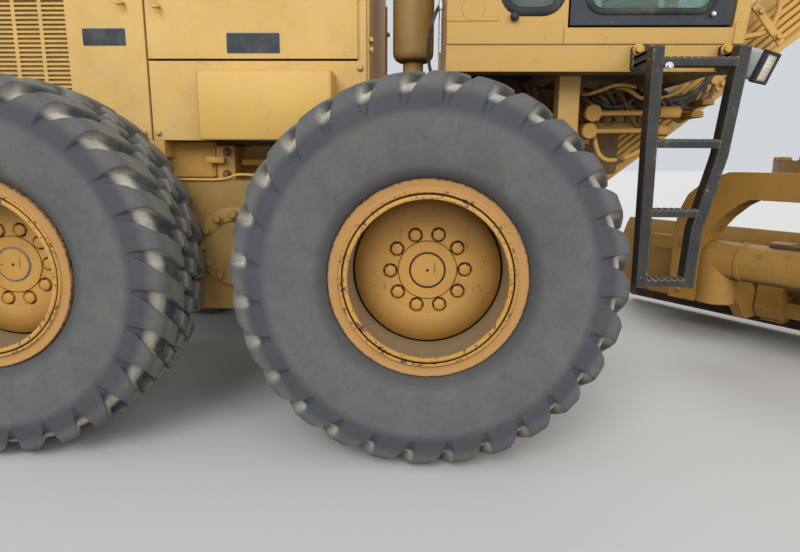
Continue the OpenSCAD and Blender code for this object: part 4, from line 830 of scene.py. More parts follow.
def rim_shape(nuts, nut_circle, cap_tone):
    """Turned rim: flange, gutter ring, lock ring, deep barrel, domed disc with recessed nuts, pilot ring
    and cap. The tones name its zones: 1 flange, 2 chipped ridges, 3 dusty barrel, 4 disc, 5 gaps and
    recesses painted dark as shade, 6 bare cap ring."""
    s = Shape()
    out = 0.05
    zones = [
        (1.0, [
            (0.300, 0.095), (0.322, 0.100), (0.3300, 0.108), (0.3310, 0.118), (0.3310, 0.131),
            (0.3285, 0.1345), (0.3230, 0.1330), (0.3100, 0.1300), (0.3000, 0.1300), (0.2965, 0.1315)]),
        (2.0, [
            (0.2965, 0.1315), (0.2950, 0.1365), (0.2925, 0.1385), (0.2890, 0.1385), (0.2865, 0.1365),
            (0.2850, 0.1330)]),
        (5.0, [(0.2850, 0.1330), (0.2840, 0.1200), (0.2815, 0.1200), (0.2805, 0.1310)]),
        (2.0, [
            (0.2805, 0.1310), (0.2795, 0.1345), (0.2770, 0.1365), (0.2700, 0.1370), (0.2665, 0.1355),
            (0.2645, 0.1310)]),
        (3.0, [
            (0.2645, 0.1310), (0.2650, 0.1180), (0.2690, 0.0950), (0.2700, 0.0500), (0.2700, 0.0),
            (0.2690, -0.0650)]),
        (5.0, [(0.2690, -0.0650), (0.2665, -0.0760), (0.2640, -0.0760), (0.2630, -0.0650)]),
        (4.0, [
            (0.2630, -0.0650), (0.2600, -0.0560), (0.2450, -0.0480), (0.2200, -0.0460),
            (0.1900, -0.0500), (0.1650, -0.0560), (0.1600, -0.0575)])]
    for tone, profile in zones:
        s.moved(np.eye(4), turned_profile(np.array(profile) + (0, out), 120, tone))
    # The nut ring is a grid in radius and angle whose points drop by the recess depth inside each nut's
    # circle.
    ring_r = np.linspace(0.160, 0.1065, 19)
    a = np.linspace(0, 2 * np.pi, nuts * 30, endpoint=False)
    first = math.radians(-1.5)
    pitch = 2 * np.pi / nuts
    near = (a[:, None] - first + pitch / 2) % pitch - pitch / 2
    away = np.hypot(ring_r[None] * np.cos(near) - nut_circle, ring_r[None] * np.sin(near))
    hole = 1 - step(away, 0.0225, 0.0265)
    base_y = np.interp(ring_r, [0.1065, 0.160], [-0.0600, -0.0575])[None] + 0 * away
    y = base_y - 0.016 * hole + out
    pts = np.stack([np.cos(a)[:, None] * ring_r, y, -np.sin(a)[:, None] * ring_r], -1)
    # Inside each recess the tone rises towards 5, so the recess floor is painted dark as shade.
    s.grid(pts, close_u=True, tag=4.0 + 0.95 * step(hole, 0.15, 0.45))
    for tone, profile in [
        (5.0, [(0.1065, -0.0600), (0.1062, -0.0640), (0.1048, -0.0640), (0.1045, -0.0595)]),
        (4.0, [(0.1045, -0.0595), (0.1030, -0.0580), (0.0700, -0.0570), (0.0655, -0.0575)]),
        (cap_tone, [(0.0655, -0.0575), (0.0650, -0.0620), (0.0610, -0.0620), (0.0600, -0.0570)]),
        (4.0, [
            (0.0600, -0.0570), (0.0585, -0.0545), (0.0500, -0.0535), (0.0090, -0.0530),
            (0.0048, -0.0530)]),
        (5.0, [(0.0048, -0.0530), (0.0042, -0.0570), (0.0001, -0.0572)])]:
        s.moved(np.eye(4), turned_profile(np.array(profile) + (0, out), 96, tone))
    for k in range(nuts):
        t = first + k * pitch
        spot = Matrix.Translation(
            (nut_circle * math.cos(t), out - 0.0765, -nut_circle * math.sin(t))
        ) @ Matrix.Rotation(0.4 * k, 4, "Y")
        s.moved(spot, hexagon_head(0.0375, 0.0235, 0.0, 4.4))
    # Back of the rim: the other flange, the barrel's outside, the disc's back and the hub that runs on
    # the spindle.
    back = [
        (0.0605, -0.0370), (0.0605, -0.0740), (0.1500, -0.0740), (0.1500, -0.0350), (0.2550, -0.0380),
        (0.2800, -0.0500), (0.2880, -0.1840), (0.2930, -0.1850), (0.3310, -0.1845), (0.3310, -0.1710),
        (0.3050, -0.1600), (0.2990, -0.1400), (0.2990, 0.1350), (0.3000, 0.1450)]
    s.moved(np.eye(4), turned_profile(back, 96, 0.0))
    return s


class GRADER_OT_wheels(bpy.types.Operator):
    """Build the lugged tyres and the dished rims with their nuts"""

    bl_idname = "grader.wheels"
    bl_label = "Wheels"

    def execute(self, context):
        sizes = context.scene.grader_sizes
        tyre = tyre_shape(sizes.lug_count, sizes.tread_depth)
        for k, (row, side) in enumerate(WHEELS):
            set_wheel(f"tread_{row}_{side}", tyre, row, side, "rubber", (f"tyre_{row}_{side}",), 0.11 * k)
            rim = rim_shape(sizes.nut_count, sizes.nut_circle, 6.0 if row == "rear" else 5.0)
            set_wheel(f"dished_{row}_{side}", rim, row, side, "rim", (f"rim_{row}_{side}",))
        return {"FINISHED"}


# Fittings


def machine_origin():
    """The place in the frame of the point on the datum line midway between a tandem's axles. The right
    middle wheel fixes it."""
    return hub("middle", "right") - (0.7615, -0.985, 0.650)


MIRROR = np.diag([1.0, -1.0, 1.0, 1.0])
# Place of the moldboard's middle along the blade, from the middle of its yoke
BLADE_SHIFT = -0.0233


def joined(*shapes):
    """Several shapes as one."""
    s = Shape()
    for other in shapes:
        s.moved(np.eye(4), other)
    return s


def mirrored(shape):
    """The same shape on the other side of the machine."""
    s = Shape()
    s.moved(MIRROR, shape)
    return s


def fitting(name, shape, finish, body="chassis", replaced=()):
    """Makes a piece that is drawn in metres from the machine's own origin."""
    whole = Shape()
    m = np.eye(4)
    m[:3, 3] = machine_origin()
    whole.moved(m, shape)
    return make_piece(name, whole, finish, body, replaced=replaced)


def fitting_pair(name, shape, finish, body="chassis"):
    """Makes a right piece and its mirror image; body names the side where the two ride on different
    bodies."""
    for side, one in (("right", shape), ("left", mirrored(shape))):
        fitting(f"{name}_{side}", one, finish, body.format(side=side))


def bolts(places, towards="-y", width=0.024, washer=0.003):
    """Bolt heads at a list of places, all facing the same way, each turned a little differently."""
    s = Shape()
    for k, spot in enumerate(places):
        s.moved(
            place(*spot, towards) @ Matrix.Rotation(0.7 * k, 4, "Y"),
            hexagon_head(width, width * 0.62, washer))
    return s


def ball(centre, radius, ring=16):
    """A round knob: half a circle turned about Y."""
    a = np.linspace(0, np.pi, ring // 2 + 1)
    s = Shape()
    s.moved(
        Matrix.Translation(centre),
        turned_profile(np.stack([np.maximum(np.sin(a), 1e-4) * radius, -np.cos(a) * radius], -1), ring))
    return s


def drum(centre, towards, profile, segments=48):
    """A turned profile set at a place, its height running towards the named way."""
    s = Shape()
    s.moved(place(*centre, towards), turned_profile(profile, segments))
    return s


def pin_head(centre, radius, depth, towards="-y"):
    """A round pin head with a rounded rim and a shallow dished face."""
    return drum(centre, towards, [
        (1e-4, 0), (radius, 0), (radius, depth * 0.75), (radius * 0.94, depth * 0.95),
        (radius * 0.86, depth), (radius * 0.5, depth * 0.93), (1e-4, depth * 0.9)], 40)


def band(points, width, y0, y1, bevel=0.003, teeth=0.0):
    """A flat bar in X and Z that follows a bent line, mitred at its corners; teeth gives its upper edge a
    saw line."""
    c = np.asarray(points, float)
    d = np.diff(c, axis=0)
    n = np.stack([-d[:, 1], d[:, 0]], -1) / np.linalg.norm(d, axis=1)[:, None]
    corner = np.vstack([n[:1], (n[1:] + n[:-1]) / (1 + np.sum(n[1:] * n[:-1], axis=1))[:, None], n[-1:]])
    up, low = c + corner * width / 2, c - corner * width / 2
    if teeth:
        count = int(np.linalg.norm(c[-1] - c[0]) / teeth)
        t = np.repeat(np.linspace(0, 1, count + 1), 2)[1:-1]
        saw = np.where(np.arange(len(t)) % 4 < 2, 0.0, -0.005)
        up = up[0] + (up[-1] - up[0]) * t[:, None] + np.stack([0 * t, saw], -1)
    return plate(np.vstack([low, up[::-1]]), y0, y1, bevel)


def rounded_outline(x0, x1, z0, z1, radius, arc=8):
    """The points of a rounded rectangle in X and Z."""
    a = np.linspace(0, np.pi / 2, arc)
    corners = [
        (x1 - radius, z1 - radius, 0), (x0 + radius, z1 - radius, 1), (x0 + radius, z0 + radius, 2),
        (x1 - radius, z0 + radius, 3)]
    return np.vstack([
        np.stack([x + radius * np.cos(a + k * np.pi / 2), z + radius * np.sin(a + k * np.pi / 2)], -1)
        for x, z, k in corners])


def seal(outline, y, half, proud):
    """A rubber seal round a window: a half round carried along the window's closed outline."""
    o = np.asarray(outline, float)
    tangent = np.roll(o, -1, 0) - np.roll(o, 1, 0)
    n = np.stack([tangent[:, 1], -tangent[:, 0]], -1) / np.linalg.norm(tangent, axis=1)[:, None]
    a = np.linspace(0, np.pi, 7)
    off, out = -np.cos(a) * half, np.sin(a) * proud
    p = np.stack([
        o[:, None, 0] + n[:, None, 0] * off, y - np.broadcast_to(out, (len(o), 7)),
        o[:, None, 1] + n[:, None, 1] * off], -1)
    s = Shape()
    s.grid(p, close_u=True, tag=0.0)
    back = np.stack([p[:, [6, 0], 0], np.full((len(o), 2), y + 0.004), p[:, [6, 0], 2]], -1)
    ring = np.stack([p[:, 6], back[:, 0], back[:, 1], p[:, 0]], 1)
    s.grid(ring, close_u=True, tag=0.0)
    return s


class GRADER_OT_hood(bpy.types.Operator):
    """Fit the hood's handles, bare plates, edges, bolts and cap, and the tool boxes' skins"""

    bl_idname = "grader.hood"
    bl_label = "Hood fittings"

    def execute(self, context):
        def handle(x, z, height=0.085):
            return swept_pipe([
                (x, -0.595, z + height), (x, -0.612, z + height),
                (x + 0.004, -0.632, z + height - 0.012), (x + 0.018, -0.636, z + 0.014),
                (x + 0.030, -0.634, z + 0.006), (x + 0.034, -0.618, z + 0.012),
                (x + 0.034, -0.595, z + 0.014)], 0.0062, 10, 5)

        fitting_pair("panel_handle", handle(-0.490, 1.625), "pale")
        fitting_pair("door_handle", handle(-0.346, 1.612), "pale", "engine_door_{side}")
        fitting_pair("seam_lip", soft_block((0.474, -0.5955, 1.385), (0.494, -0.588, 1.90), 0.001), "pale")
        fitting_pair("hood_edge", soft_block((0.5095, -0.592, 1.12), (0.5200, -0.560, 1.90), 0.003), "pale")
        side = [
            (x, -0.5995, z) for x, z in (
                (-1.462, 1.16), (-1.462, 1.40), (-1.462, 1.66), (-1.462, 1.90), (-1.345, 1.16),
                (-1.345, 1.40), (-1.345, 1.66), (-1.345, 1.88), (-0.41, 1.14), (0.485, 1.395),
                (0.46, 1.14), (-0.35, 1.14))]
        fitting_pair(
            "hood_bolts",
            joined(
                bolts(side, "-y", 0.017, 0.002),
                bolts([(0.518, -0.578, z) for z in (1.504, 1.467, 1.25, 1.75)], "+x", 0.022, 0.003)),
            "pale")
        for name, body, x0, x1, z0, z1 in (
            ("rear", "chassis", -0.634, -0.460, 1.481, 1.545),
            ("front", "engine_door_right", -0.049, 0.163, 1.452, 1.527)):
            fitting(
                f"bare_plate_{name}",
                plate(rounded_outline(x0, x1, z0, z1, 0.004), -0.6016, -0.5998, 0.0004), "plate", body)
            fitting(
                f"plate_rim_{name}",
                plate(
                    rounded_outline(x0 - 0.0022, x1 + 0.0022, z0 - 0.0022, z1 + 0.0022, 0.005), -0.6010,
                    -0.5998, 0.0003),
                "lamp_grey", body)
        lid = joined(
            soft_block((-0.134, -0.7222, 1.1115), (0.3835, -0.602, 1.3675), 0.004),
            plate(
                [(0.3780, 1.112), (0.3780, 1.3705), (0.3850, 1.3705), (0.3850, 1.112)], -0.7235, -0.602,
                0.0015),
            plate(
                [(-0.1375, 1.110), (-0.1375, 1.370), (-0.1345, 1.370), (-0.1345, 1.110)], -0.7215, -0.602,
                0.0008))
        fitting_pair("tool_box_skin", lid, "box")
        cap = drum((0.25, -0.32, 2.049), "+z", [
            (1e-4, 0), (0.062, 0), (0.062, 0.012), (0.050, 0.016), (0.050, 0.040), (0.044, 0.046),
            (1e-4, 0.048)])
        fitting("filler_cap", cap, "steel")
        return {"FINISHED"}


class GRADER_OT_cab(bpy.types.Operator):
    """Fit the cab's window seals, side panels, door knob, grab rail, round cover and gutter"""

    bl_idname = "grader.cab"
    bl_label = "Cab fittings"

    def execute(self, context):
        quarter = rounded_outline(1.030, 1.242, 1.576, 3.041, 0.070)
        door = rounded_outline(1.335, 1.793, 1.576, 3.046, 0.060)
        fitting_pair("quarter_seal", seal(quarter, -0.7195, 0.016, 0.009), "seal")
        fitting_pair("door_seal", seal(door, -0.7195, 0.013, 0.007), "seal", "cab_door_{side}")
        panels = joined(*[
            plate(outline, y, -0.7190, bevel) for outline, y, bevel in (
                ([(0.821, 1.543), (0.821, 1.560), (1.012, 1.560), (1.012, 1.543)], -0.7215, 0.0010),
                ([(0.821, 1.462), (0.821, 1.5405), (1.252, 1.5405), (1.252, 1.462)], -0.7232, 0.0012),
                ([(1.2545, 1.462), (1.2545, 1.516), (1.858, 1.516), (1.858, 1.462)], -0.7232, 0.0012),
                ([(1.868, 1.462), (1.873, 1.540), (1.912, 1.540), (1.908, 1.462)], -0.7232, 0.0012))])
        fitting_pair("cab_lower_panels", panels, "cab")
        cover = drum(
            (0.918, -0.7185, 1.587), "-y",
            [(1e-4, 0), (0.044, 0), (0.044, 0.0014), (0.0425, 0.0030), (0.020, 0.0036), (1e-4, 0.0036)])
        fitting_pair("round_cover", cover, "cab")
        fitting_pair("door_stop", ball((1.069, -0.733, 1.557), 0.0165), "seal")
        knob = drum((1.787, -0.7185, 1.565), "-y", [
            (1e-4, 0), (0.007, 0), (0.007, 0.006), (0.0095, 0.008), (0.0095, 0.014), (0.006, 0.017),
            (1e-4, 0.0175)], 28)
        fitting_pair("door_knob", knob, "zinc", "cab_door_{side}")
        grab = swept_pipe([
            (1.300, -0.718, 2.02), (1.300, -0.765, 2.03), (1.300, -0.775, 2.06),
            (1.300, -0.775, 2.50), (1.300, -0.765, 2.53), (1.300, -0.718, 2.54)], 0.011, 12, 4)
        fitting_pair("grab_rail", grab, "black", "cab_door_{side}")
        gutter = plate(
            [(0.800, 3.236), (0.800, 3.252), (2.084, 3.252), (2.084, 3.236)], -0.7645, -0.7580, 0.002)
        fitting_pair("roof_gutter", gutter, "cab")
        return {"FINISHED"}


class GRADER_OT_canister(bpy.types.Operator):
    """Fit the upright canister behind the cab with its pipe, gas strut and hose"""

    bl_idname = "grader.canister"
    bl_label = "Canister"

    def execute(self, context):
        x, y = 0.690, -0.350
        body = joined(
            drum((x, y, 0), "+z", [
                (1e-4, 1.4500), (0.046, 1.4500), (0.062, 1.4530), (0.077, 1.4620), (0.086, 1.4760),
                (0.0885, 1.4920), (0.0885, 2.086), (0.084, 2.096), (0.050, 2.100), (0.050, 2.156),
                (1e-4, 2.156)], 64),
            drum(
                (x, y, 0), "+z", [(0.0885, 2.020), (0.0915, 2.024), (0.0915, 2.046), (0.0885, 2.050)], 64),
            drum((x, y, 0), "+z", [(0.044, 1.088), (0.044, 1.455)], 40),
            drum((x, y, 0), "+z", [(0.044, 1.360), (0.0475, 1.362), (0.0475, 1.380), (0.044, 1.382)], 40))
        fitting("canister", body, "canister", replaced=("air_cleaner",))
        strut = joined(swept_pipe([(0.800, -0.662, 2.02), (0.8005, -0.662, 1.44)], 0.0085, 16, 1),
                       swept_pipe([(0.8005, -0.662, 1.62), (0.8005, -0.662, 1.596)], 0.0125, 16, 1))
        fitting("silver_tube", strut, "zinc")
        foot = soft_block((0.775, -0.700, 2.00), (0.825, -0.630, 2.03), 0.003)
        fitting("tube_feet", foot, "cab")
        hose = swept_pipe([
            (0.8, -0.66, 1.610), (0.788, -0.668, 1.600), (0.770, -0.668, 1.556),
            (0.757, -0.660, 1.500), (0.754, -0.650, 1.450), (0.760, -0.640, 1.395),
            (0.78, -0.600, 1.33), (0.80, -0.50, 1.28), (0.82, -0.30, 1.24)], 0.0065, 10, 6)
        fitting("canister_hoses", hose, "hose")
        return {"FINISHED"}


class GRADER_OT_under_cab(bpy.types.Operator):
    """Fit the valve sections, pins, rods, pipes and hoses under the cab"""

    bl_idname = "grader.under_cab"
    bl_label = "Valves and hoses under the cab"

    def execute(self, context):
        for k, (x, z, reach, r) in enumerate([(1.455, 1.236, 1.745, 0.0125), (1.443, 1.162, 1.700, 0.0118)]):
            rod = joined(
                pin_head((x, -0.430, z), 0.037 - 0.003 * k, 0.030),
                drum((x, -0.330, z), "-y", [(0.024, 0), (0.024, 0.104)], 24),
                swept_pipe([(x + 0.02, -0.428, z), (reach, -0.428, z + 0.004)], r, 14, 1),
                swept_pipe(
                    [(reach - 0.01, -0.428, z + 0.004), (reach + 0.075, -0.428, z + 0.004)],
                    0.027 - 0.004 * k, 20, 1),
                soft_block((x - 0.02, -0.40, z - 0.055), (x + 0.02, -0.33, z + 0.055), 0.006))
            fitting(f"link_rod_{k}", rod, "rim_ochre")
        sections = joined(
            *[
                soft_block(
                    (1.36 + 0.052 * k, -0.372, 1.205),
                    (1.405 + 0.052 * k, -0.325, 1.318 - 0.012 * (k % 2)), 0.004)
                for k in range(7)],
            *[
                swept_pipe(
                    [(1.383 + 0.052 * k, -0.345, 1.31), (1.383 + 0.052 * k, -0.345, 1.335)], 0.012, 12, 1)
                for k in range(7)],
            *[
                drum(
                    (1.383 + 0.052 * k, -0.370, 1.262), "-y",
                    [(1e-4, 0), (0.015, 0), (0.015, 0.010), (0.010, 0.014), (1e-4, 0.014)], 16)
                for k in range(7)])
        fitting("valve_sections", sections, "deep")
        curls = [
            [
                (1.478, -0.40, 1.150), (1.482, -0.42, 1.110), (1.500, -0.42, 1.066),
                (1.535, -0.42, 1.042), (1.590, -0.42, 1.045), (1.665, -0.40, 1.075), (1.75, -0.33, 1.125),
                (1.84, -0.23, 1.19)],
            [
                (1.40, -0.38, 1.345), (1.42, -0.42, 1.315), (1.46, -0.44, 1.322), (1.55, -0.43, 1.352),
                (1.66, -0.40, 1.345)],
            [
                (1.56, -0.40, 1.345), (1.60, -0.44, 1.330), (1.65, -0.44, 1.300), (1.72, -0.42, 1.297),
                (1.82, -0.38, 1.325), (1.90, -0.30, 1.372)],
            [
                (1.66, -0.34, 1.20), (1.72, -0.37, 1.215), (1.80, -0.35, 1.25), (1.88, -0.26, 1.31),
                (1.96, -0.20, 1.38)],
            [(1.37, -0.40, 1.06), (1.40, -0.42, 1.13), (1.395, -0.42, 1.20), (1.40, -0.40, 1.28)]]
        fitting(
            "curved_pipes",
            joined(*[swept_pipe(c, 0.0105 if k == 0 else 0.0085, 12, 8) for k, c in enumerate(curls)]),
            "amber")
        rng = np.random.default_rng(7)
        hoses = []
        for k in range(16):
            x0, x1 = 1.36 + 0.026 * k, 1.42 + 0.034 * k
            sag = 0.05 + 0.07 * rng.random()
            z0 = 1.345 if k % 2 else 1.30
            hoses.append(
                swept_pipe(
                    [
                        (x0, -0.345 - 0.03 * (k % 3), z0), (x0 + 0.02, -0.36 - 0.03 * (k % 3), z0 - 0.01),
                        ((x0 + x1) / 2 + 0.03, -0.37 - 0.05 * rng.random(), z0 - sag),
                        (x1 + 0.05, -0.33, 1.22 + 0.006 * k), (x1 + 0.12, -0.22, 1.24 + 0.009 * k)],
                    0.0075 + 0.003 * (k % 2), 10, 6))
        for k in range(12):
            x = 0.84 + 0.035 * k
            hoses.append(
                swept_pipe([
                    (x, -0.26, 1.10 + 0.05 * (k % 3)), (x + 0.03, -0.33 - 0.04 * (k % 2), 1.18),
                    (x + 0.06 * rng.random(), -0.37, 1.27), (x + 0.02, -0.30, 1.36)], 0.009, 10, 6))
        fitting("pressure_hoses", joined(*hoses[1::4]), "hose")
        # Most hoses take the dark grimy paint: dirt and painted shade.
        fitting("painted_hoses", joined(*[h for k, h in enumerate(hoses) if k % 4 != 1]), "grimy")
        long_hose = [
            (1.70, -0.36, 1.30), (1.775, -0.40, 1.292), (1.83, -0.41, 1.300), (1.885, -0.40, 1.322),
            (1.955, -0.33, 1.362), (2.02, -0.26, 1.42)]
        cross = [
            (1.46, -0.41, 1.300), (1.50, -0.42, 1.275), (1.56, -0.42, 1.262), (1.62, -0.41, 1.290),
            (1.66, -0.38, 1.335)]
        fitting(
            "long_hoses", joined(swept_pipe(long_hose, 0.013, 12, 8), swept_pipe(cross, 0.010, 12, 8)),
            "hose")
        clamps = joined(
            soft_block((1.578, -0.437, 1.030), (1.606, -0.405, 1.062), 0.003),
            bolts([(1.592, -0.437, 1.046)], "-y", 0.014),
            *[
                soft_block((x, -0.46, 1.22 + 0.05 * k), (x + 0.05, -0.30, 1.245 + 0.05 * k), 0.003)
                for k, x in enumerate((1.86, 1.90))])
        fitting("pipe_clamps", clamps, "deep")
        # The pump and filter lumps, in the dark grimy paint, also fill the space behind the hoses with
        # painted shade.
        lumps = joined(
            soft_block((0.95, -0.42, 1.10), (1.20, -0.25, 1.30), 0.02),
            soft_block((1.37, -0.30, 0.98), (1.62, -0.18, 1.17), 0.015),
            drum(
                (1.08, -0.41, 1.20), "-y",
                [(1e-4, 0), (0.075, 0), (0.075, 0.03), (0.06, 0.045), (1e-4, 0.045)], 32),
            bolts([
                (1.08 + 0.06 * math.cos(a), -0.44, 1.20 + 0.06 * math.sin(a))
                for a in np.arange(6) * math.pi / 3], "-y", 0.016))
        fitting("pump_and_filter", lumps, "grimy")
        return {"FINISHED"}


class GRADER_OT_ladders(bpy.types.Operator):
    """Build the ladders with bent rails, saw-edged steps, pads and bolts"""

    bl_idname = "grader.ladders"
    bl_label = "Ladders"

    def execute(self, context):
        y0, y1 = -0.945, -0.885
        rails = [
            [(1.524, 1.420), (1.527, 1.095), (1.536, 0.590)],
            [(1.810, 1.420), (1.772, 1.060), (1.710, 0.800), (1.700, 0.590)]]
        steps = [(1.530, 1.790, 1.370), (1.532, 1.760, 1.100), (1.535, 1.715, 0.860), (1.545, 1.690, 0.610)]
        parts = [band(line, 0.040, y0, y1, 0.004) for line in rails]
        parts += [band([(a, z), (b, z)], 0.030, y0 + 0.004, y1 - 0.004, 0.0015, 0.011) for a, b, z in steps]
        parts += [
            band([(a, z - 0.001), (b, z - 0.001)], 0.028, y, y + 0.005, 0.001, 0.011)
            for a, b, z in steps for y in (y0 + 0.001, y1 - 0.006)]
        for pad, arm in ((1.503, 1.508), (1.820, 1.812)):
            parts += [
                plate(rounded_outline(pad, pad + 0.070, 1.366, 1.456, 0.012), -0.745, -0.719, 0.0015),
                soft_block((arm, -0.890, 1.375), (arm + 0.018, -0.726, 1.388), 0.002),
                soft_block((arm, -0.890, 1.402), (arm + 0.018, -0.726, 1.415), 0.002),
                plate(
                    [(arm, 1.372), (arm, 1.418), (arm + 0.006, 1.418), (arm + 0.006, 1.372)], -0.890,
                    -0.728, 0.001)]
        right = joined(*parts)
        fitting("ladder_frames", joined(right, mirrored(right)), "ladder", replaced=("ladders",))
        heads = bolts([(1.523, -0.745, 1.439), (1.840, -0.745, 1.439)], "-y", 0.026, 0.003)
        zinc = bolts(
            [(1.521, -0.745, 1.396), (1.872, -0.745, 1.396), (1.562, -0.945, 1.352)], "-y", 0.017, 0.002)
        fitting_pair("ladder_bolts", heads, "rim_ochre")
        fitting_pair("ladder_screws", zinc, "zinc")
        return {"FINISHED"}


class GRADER_OT_lamps(bpy.types.Operator):
    """Build the side lamps and the lamps on the beam"""

    bl_idname = "grader.lamps"
    bl_label = "Lamps"

    def execute(self, context):
        turn = Matrix.Translation((1.897, -0.850, 1.370)) @ Matrix.Rotation(
            math.radians(-48), 4, "Z") @ Matrix.Rotation(math.radians(22), 4, "Y")
        shell, bezel, lens = Shape(), Shape(), Shape()
        shell.moved(turn, soft_block((-0.048, -0.050, -0.050), (0.030, 0.050, 0.050), 0.014, 4))
        for lo, hi in (
            ((-0.054, 0.044), (0.054, 0.054)), ((-0.054, -0.054), (0.054, -0.044)),
            ((-0.054, -0.054), (-0.044, 0.054)), ((0.044, -0.054), (0.054, 0.054))):
            bezel.moved(turn, soft_block((0.020, lo[0], lo[1]), (0.042, hi[0], hi[1]), 0.003))
        lens.moved(turn, soft_block((0.010, -0.046, -0.046), (0.036, 0.046, 0.046), 0.006))
        arm = joined(
            soft_block((1.868, -0.832, 1.378), (1.888, -0.718, 1.400), 0.003),
            soft_block((1.862, -0.728, 1.368), (1.894, -0.719, 1.410), 0.002))
        at = (5.44, -0.26, 1.88)
        shell = joined(
            shell,
            drum(
                at, "+x", [(1e-4, 0), (0.045, 0.002), (0.078, 0.030), (0.088, 0.070), (0.090, 0.100)], 40))
        bezel = joined(
            bezel,
            drum(at, "+x", [
                (0.084, 0.100), (0.0925, 0.100), (0.0935, 0.110), (0.0925, 0.120), (0.084, 0.122),
                (0.084, 0.100)], 40))
        lens = joined(
            lens, drum(at, "+x", [(0.085, 0.110), (0.070, 0.118), (0.040, 0.122), (1e-4, 0.124)], 40))
        arm = joined(
            arm, soft_block((5.47, -0.262, 1.70), (5.53, -0.150, 1.760), 0.004),
            soft_block((5.47, -0.290, 1.70), (5.53, -0.230, 1.800), 0.004))
        for name, shape, finish, replaced in (
            ("lamp_shells", shell, "lamp_grey", ("front_lamps",)),
            ("lamp_bezels", bezel, "black", ()),
            ("lamp_lenses", lens, "lens", ()),
            ("lamp_arms", arm, "black", ()),
        ):
            fitting(name, joined(shape, mirrored(shape)), finish, replaced=replaced)
        return {"FINISHED"}


class GRADER_OT_frame(bpy.types.Operator):
    """Fit the frame's bolts, brackets, thin pipes and covers"""

    bl_idname = "grader.frame"
    bl_label = "Frame fittings"

    def execute(self, context):
        bracket = joined(
            soft_block((-0.178, -0.553, 1.018), (-0.100, -0.526, 1.044), 0.002),
            soft_block((-0.048, -0.480, 1.008), (0.110, -0.448, 1.036), 0.003),
            soft_block((-0.392, -0.5125, 0.962), (-0.386, -0.507, 1.086), 0.002),
            soft_block((-0.162, -0.5150, 0.962), (-0.150, -0.507, 1.100), 0.002))
        fitting_pair("frame_brackets", bracket, "amber")
        fitting_pair(
            "bracket_bolts",
            bolts([(-0.094, -0.5255, 1.065), (-0.099, -0.5255, 0.972)], "-y", 0.022, 0.003), "rusty")
        line = [
            (-0.62, -0.742, 0.955), (-0.30, -0.743, 0.9555), (-0.177, -0.743, 0.956),
            (-0.060, -0.743, 0.957), (-0.020, -0.743, 0.964), (0.023, -0.743, 0.976),
            (0.110, -0.743, 0.973), (0.30, -0.743, 0.973)]
        fitting_pair("brake_line", swept_pipe(line, 0.0062, 10, 6), "amber")
        ring = [
            (0.128 * math.cos(a), -0.766, 0.6935 + 0.128 * math.sin(a))
            for a in np.arange(12) * math.pi / 6]
        cover = joined(
            drum((0.0, -0.7540, 0.6935), "-y", [
                (1e-4, 0), (0.158, 0), (0.158, 0.008), (0.150, 0.012), (0.104, 0.012), (0.100, 0.007),
                (1e-4, 0.007)], 64),
            bolts(ring, "-y", 0.026, 0.003))
        fitting_pair("tandem_cover", cover, "ochre")
        seats = joined(
            *[bolts([(x, -0.741, z) for z in (0.52, 0.90)], "-y", 0.026, 0.003) for x in (-0.46, 0.46)])
        fitting_pair("tandem_bolts", seats, "ochre")
        rear = joined(
            *[
                drum((-1.7220, y, 1.10), "-x", [
                    (1e-4, 0), (0.048, 0), (0.048, 0.006), (0.044, 0.012), (0.020, 0.015),
                    (1e-4, 0.0155)], 40)
                for y in (-0.70, 0.70)])
        fitting("rear_lenses", rear, "red")
        fitting(
            "bumper_bolts",
            bolts(
                [(-1.7105, y, z) for y in (-0.45, -0.28, 0.28, 0.45) for z in (0.84, 1.10)], "-x", 0.036,
                0.004),
            "amber")
        return {"FINISHED"}


class GRADER_OT_beam(bpy.types.Operator):
    """Fit the beam's clamps, bolts and bent tubes"""

    bl_idname = "grader.beam"
    bl_label = "Beam fittings"

    def execute(self, context):
        slope = math.atan2(1.790 - 0.880, 2.6855 - 1.548)
        loops = [
            [
                (2.06, -0.24, 1.560), (2.152, -0.25, 1.577), (2.231, -0.25, 1.598), (2.271, -0.25, 1.655),
                (2.279, -0.25, 1.729), (2.268, -0.25, 1.83), (2.30, -0.24, 1.92)],
            [
                (1.98, -0.24, 1.505), (2.09, -0.25, 1.60), (2.17, -0.25, 1.70), (2.24, -0.25, 1.80),
                (2.32, -0.24, 1.88)]]
        fitting("bent_tubes", joined(*[swept_pipe(c, 0.0125, 14, 8) for c in loops]), "amber")
        bar = joined(
            band([(2.165, 1.705), (2.300, 1.545)], 0.034, -0.272, -0.262, 0.002),
            bolts([(2.276, -0.272, 1.574), (2.188, -0.272, 1.678)], "-y", 0.022, 0.003))
        fitting("clamp_bar", bar, "amber")
        heads = Shape()
        for t in (0.585, 0.975):
            foot = (1.548 + t * 1.0, 0.880 + math.tan(slope) * t)
            for up in (0.050, 0.222):
                heads.moved(
                    place(foot[0] - up * math.sin(slope), -0.1842, foot[1] + up * math.cos(slope)),
                    hexagon_head(0.020, 0.012, 0.003))
        fitting("clamp_bolts", heads, "amber")
        fitting_pair(
            "saddle_bolts",
            bolts([(3.30 + 0.04 * k, -0.513, 1.95) for k in range(4)], "-y", 0.026, 0.003), "amber")
        return {"FINISHED"}


def blade_fitting(name, shape, finish, body="blade_circle"):
    """Makes a piece drawn in the blade's own directions: X along the blade to its left end, Y to the rear."""
    whole = Shape()
    whole.moved(Matrix.Translation((3.36000, 0, 0)) @ Matrix.Rotation(math.radians(126), 4, "Z"), shape)
    return fitting(name, whole, finish, body)


